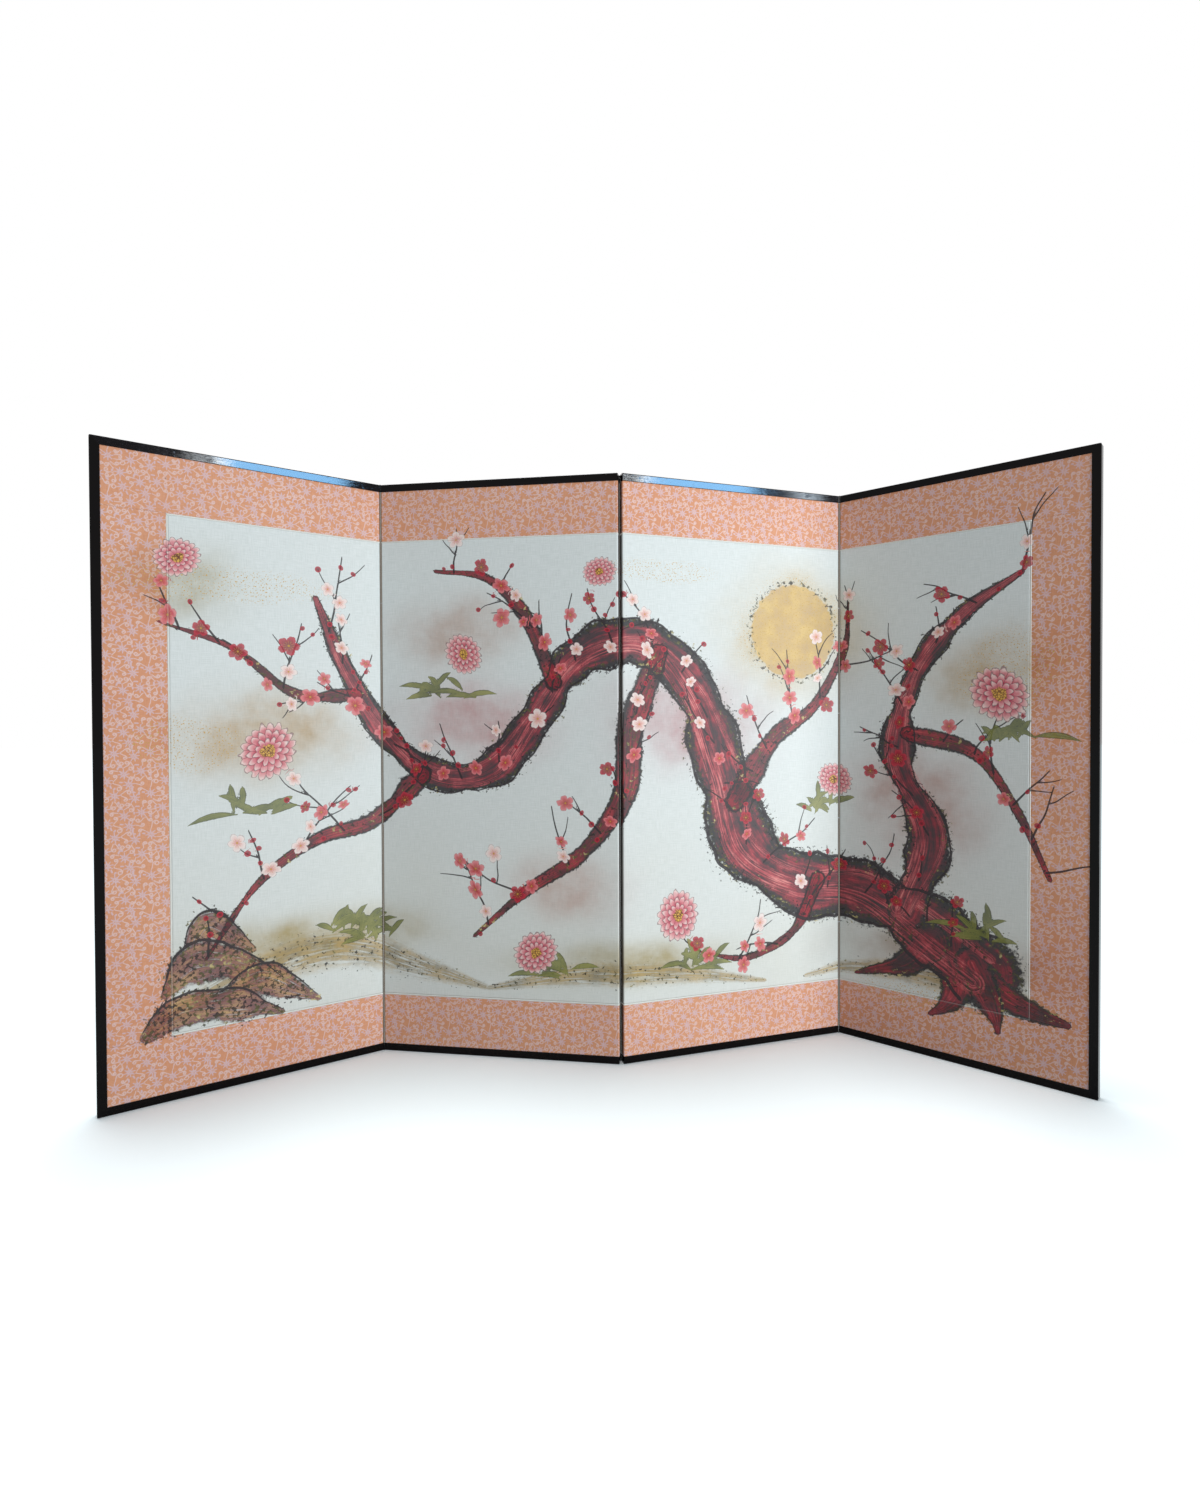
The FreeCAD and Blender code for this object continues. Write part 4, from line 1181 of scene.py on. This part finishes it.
def shade_fold_gaps(joint, height):
    strips = [node_points(name)[:, 2] for name in frame["nodes"]
              if name.startswith(joint["name"] + "_hinge_strips")]
    levels = np.unique(np.round(np.concatenate(strips), 4))
    bounds = np.concatenate(((0.0,), levels, (height,)))
    circle = [ROLL_RADIUS * direction(turn) for turn in np.linspace(0, 2 * math.pi, ROLL_SIDES + 1)]
    axis = np.array(joint["pos_m"][:2])
    points, faces = [], []
    for low, high in zip(bounds[::2], bounds[1::2]):
        rings = ((0.0, low), (1.0, low), (1.0, high), (0.0, high))
        faces.append(grid_faces(ROLL_SIDES + 1, len(rings)) + len(points))
        points += [(*(axis + share * spot), z) for spot in circle for share, z in rings]
    # Dark fillers that stand in for the shade in each fold's gap
    made = mesh_object(joint["name"] + "_shade_rolls", points, np.concatenate(faces),
                       SOLID_FINISHES["stile"])
    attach(made, joint["parent"])


# Stage, lights and camera

WORLD_LIGHT, WORLD_TINT = 0.36, (0.86, 1.03, 1.13, 1)
WHITE, BLACK = (1, 1, 1, 1), (0, 0, 0, 1)
FLOOR_SIZE, FLOOR_LEVEL = 40.0, -0.2 * MILLI
FLOOR_GLOW = 0.15
# Broad light from above that only the floor sees, for the screen's soft shadow
FLOOR_SUN, FLOOR_SUN_ANGLE = 2.25, math.radians(24)
FLOOR_SUN_PLACE = (-0.25, 0.55, 4.0)
# Lamps of the studio, which spare the floor: place, target, size, radiance and colour
LAMPS = (
    ("key", (1.9, -1.45, 0.60), (0, 0, 0.42), (0.9, 1.1), 15.5, (0.90, 0.97, 1.0)),
    ("ceiling", (0, -1.0, 2.1), (0, -0.999, 0), (2.4, 1.4), 0.75, (0.92, 1.04, 1.10)),
    ("behind", (-0.6, 2.6, 1.5), (0, 0, 0.4), (2.0, 1.6), 5.0, (1, 1, 1)),
)
# Windows of the room, which only the top rails mirror: place, size, radiance,
# colour and the panels, from 0, whose rail sees it
WINDOW_TARGET = (0, 0, 0.9)
WINDOWS = (
    ("sky", (4.20, -4.60, 2.80), (1.02, 1.2), 120.0, (0.27, 0.60, 1.0), (0, 2)),
    ("left_pane", (3.79, -4.95, 2.80), (0.07, 1.2), 170.0, (0.90, 0.96, 1.0), (0, 2)),
    ("left_slit", (3.68, -5.05, 2.80), (0.03, 1.2), 130.0, (0.90, 0.96, 1.0), (0, 2)),
    ("left_gleam", (3.61, -5.11, 2.80), (0.02, 1.2), 90.0, (0.90, 0.96, 1.0), (0, 2)),
    ("right_pane", (4.91, -3.94, 2.80), (0.16, 1.2), 90.0, (0.75, 0.88, 1.0), (2,)),
)


def make_floor():
    """White to the eye, duller to the light that it throws back on the screen."""
    g = Graph("pale_floor")
    looked_at = g.looked_at()
    seen = g.mix(g.noise(g.object_place(), 3.0), rgb(243, 249, 250), rgb(246, 252, 253))
    diffuse = g.value("BsdfDiffuse", {"Color": g.mix(looked_at, rgb(120, 103, 88), seen)})
    glow = g.value("Emission", {"Color": WHITE, "Strength": FLOOR_GLOW})
    none = g.value("Emission", {"Color": BLACK, "Strength": 0.0})
    chosen = g.value("MixShader", {0: looked_at, 1: none, 2: glow})
    g.node("OutputMaterial", {"Surface": g.value("AddShader", {0: diffuse, 1: chosen})})
    half, z = FLOOR_SIZE / 2, FLOOR_LEVEL
    points = [(-half, -half, z), (half, -half, z), (half, half, z), (-half, half, z)]
    made = mesh_object("floor", points, [(0, 1, 2, 3)], g.owner)
    return made


def make_world():
    """White to the eye, dimmer and cooler as light."""
    g = Graph("studio", world=True)
    bpy.context.scene.world = g.owner
    looked_at = g.looked_at()
    inputs = {"Color": g.mix(looked_at, WORLD_TINT, WHITE),
              "Strength": g.span(looked_at, 0.0, 1.0, WORLD_LIGHT, 1.0)}
    g.node("OutputWorld", {"Surface": g.value("Background", inputs)})


def add_light(kind, name, place, target, spared=(), only=(), **settings):
    """Adds a lamp that spares some things, or lights only some."""
    data = bpy.data.lights.new(name, kind)
    for key, value in settings.items():
        setattr(data, key, value)
    made = add_object(name, data)
    turn = (Vector(target) - Vector(place)).to_track_quat("-Z", "Y")
    made.matrix_world = Matrix.Translation(place) @ turn.to_matrix().to_4x4()
    chosen = bpy.data.collections.new(name + "_receivers")
    for item in (*spared, *only):
        chosen.objects.link(item)
    made.light_linking.receiver_collection = chosen
    for entry in chosen.collection_objects:
        entry.light_linking.link_state = "EXCLUDE" if spared else "INCLUDE"


def area_light(name, place, target, size, radiance, colour, **links):
    add_light("AREA", name, place, target, shape="RECTANGLE", size=size[0], size_y=size[1],
              energy=radiance * math.pi * size[0] * size[1], color=colour, **links)


def make_camera():
    data = bpy.data.cameras.new("camera")
    made = add_object("camera", data)
    made.matrix_world = (Matrix.Translation(CAMERA_PLACE) @ Matrix.Rotation(-CAMERA_YAW, 4, "Z")
                         @ Matrix.Rotation(math.pi / 2 + CAMERA_PITCH, 4, "X")
                         @ Matrix.Rotation(CAMERA_ROLL, 4, "Z"))
    data.sensor_fit = "HORIZONTAL"
    data.sensor_width = SENSOR_WIDTH
    data.lens = SENSOR_WIDTH * FOCAL_PIXELS / PHOTO_WIDTH
    data.shift_x = (PHOTO_WIDTH / 2 - CENTRE_PIXEL[0]) / PHOTO_WIDTH
    data.shift_y = (CENTRE_PIXEL[1] - PHOTO_HEIGHT / 2) / PHOTO_WIDTH
    data.clip_start, data.clip_end = CLIP_RANGE
    bpy.context.scene.camera = made


def main():
    panels = [Panel(index + 1) for index in range(PANEL_COUNT)]
    dress_solids()
    looks = {"painting": (SILK_STEP, 0.0, silk_material()),
             "brocade": (BROCADE_STEP, 0.0, brocade_material()),
             "fillet": (SILK_STEP, FILLET_LIFT, fillet_material()),
             "back": (PAPER_STEP, 0.0, back_material())}
    art = Painting(panels[0].width, panels[0].top + panels[0].bottom)
    tile = brocade_tile()
    for panel in panels:
        dress_panel(panel, looks, art, tile)
    for joint in frame["joints"]:
        shade_fold_gaps(joint, panels[0].span("top_rail")[1][2])
    floor = make_floor()
    make_world()
    add_light("SUN", "floor_sun", FLOOR_SUN_PLACE, (0, 0, 0), only=(floor,),
              energy=FLOOR_SUN, angle=FLOOR_SUN_ANGLE)
    for lamp in LAMPS:
        area_light(*lamp, spared=(floor,))
    rails = [frame["nodes"][panel.name("top_rail")] for panel in panels]
    for name, place, size, radiance, colour, seen_by in WINDOWS:
        area_light(name, place, WINDOW_TARGET, size, radiance, colour,
                   only=[rails[index] for index in seen_by])
    make_camera()
    bpy.context.scene.view_settings.view_transform = "Standard"


main()
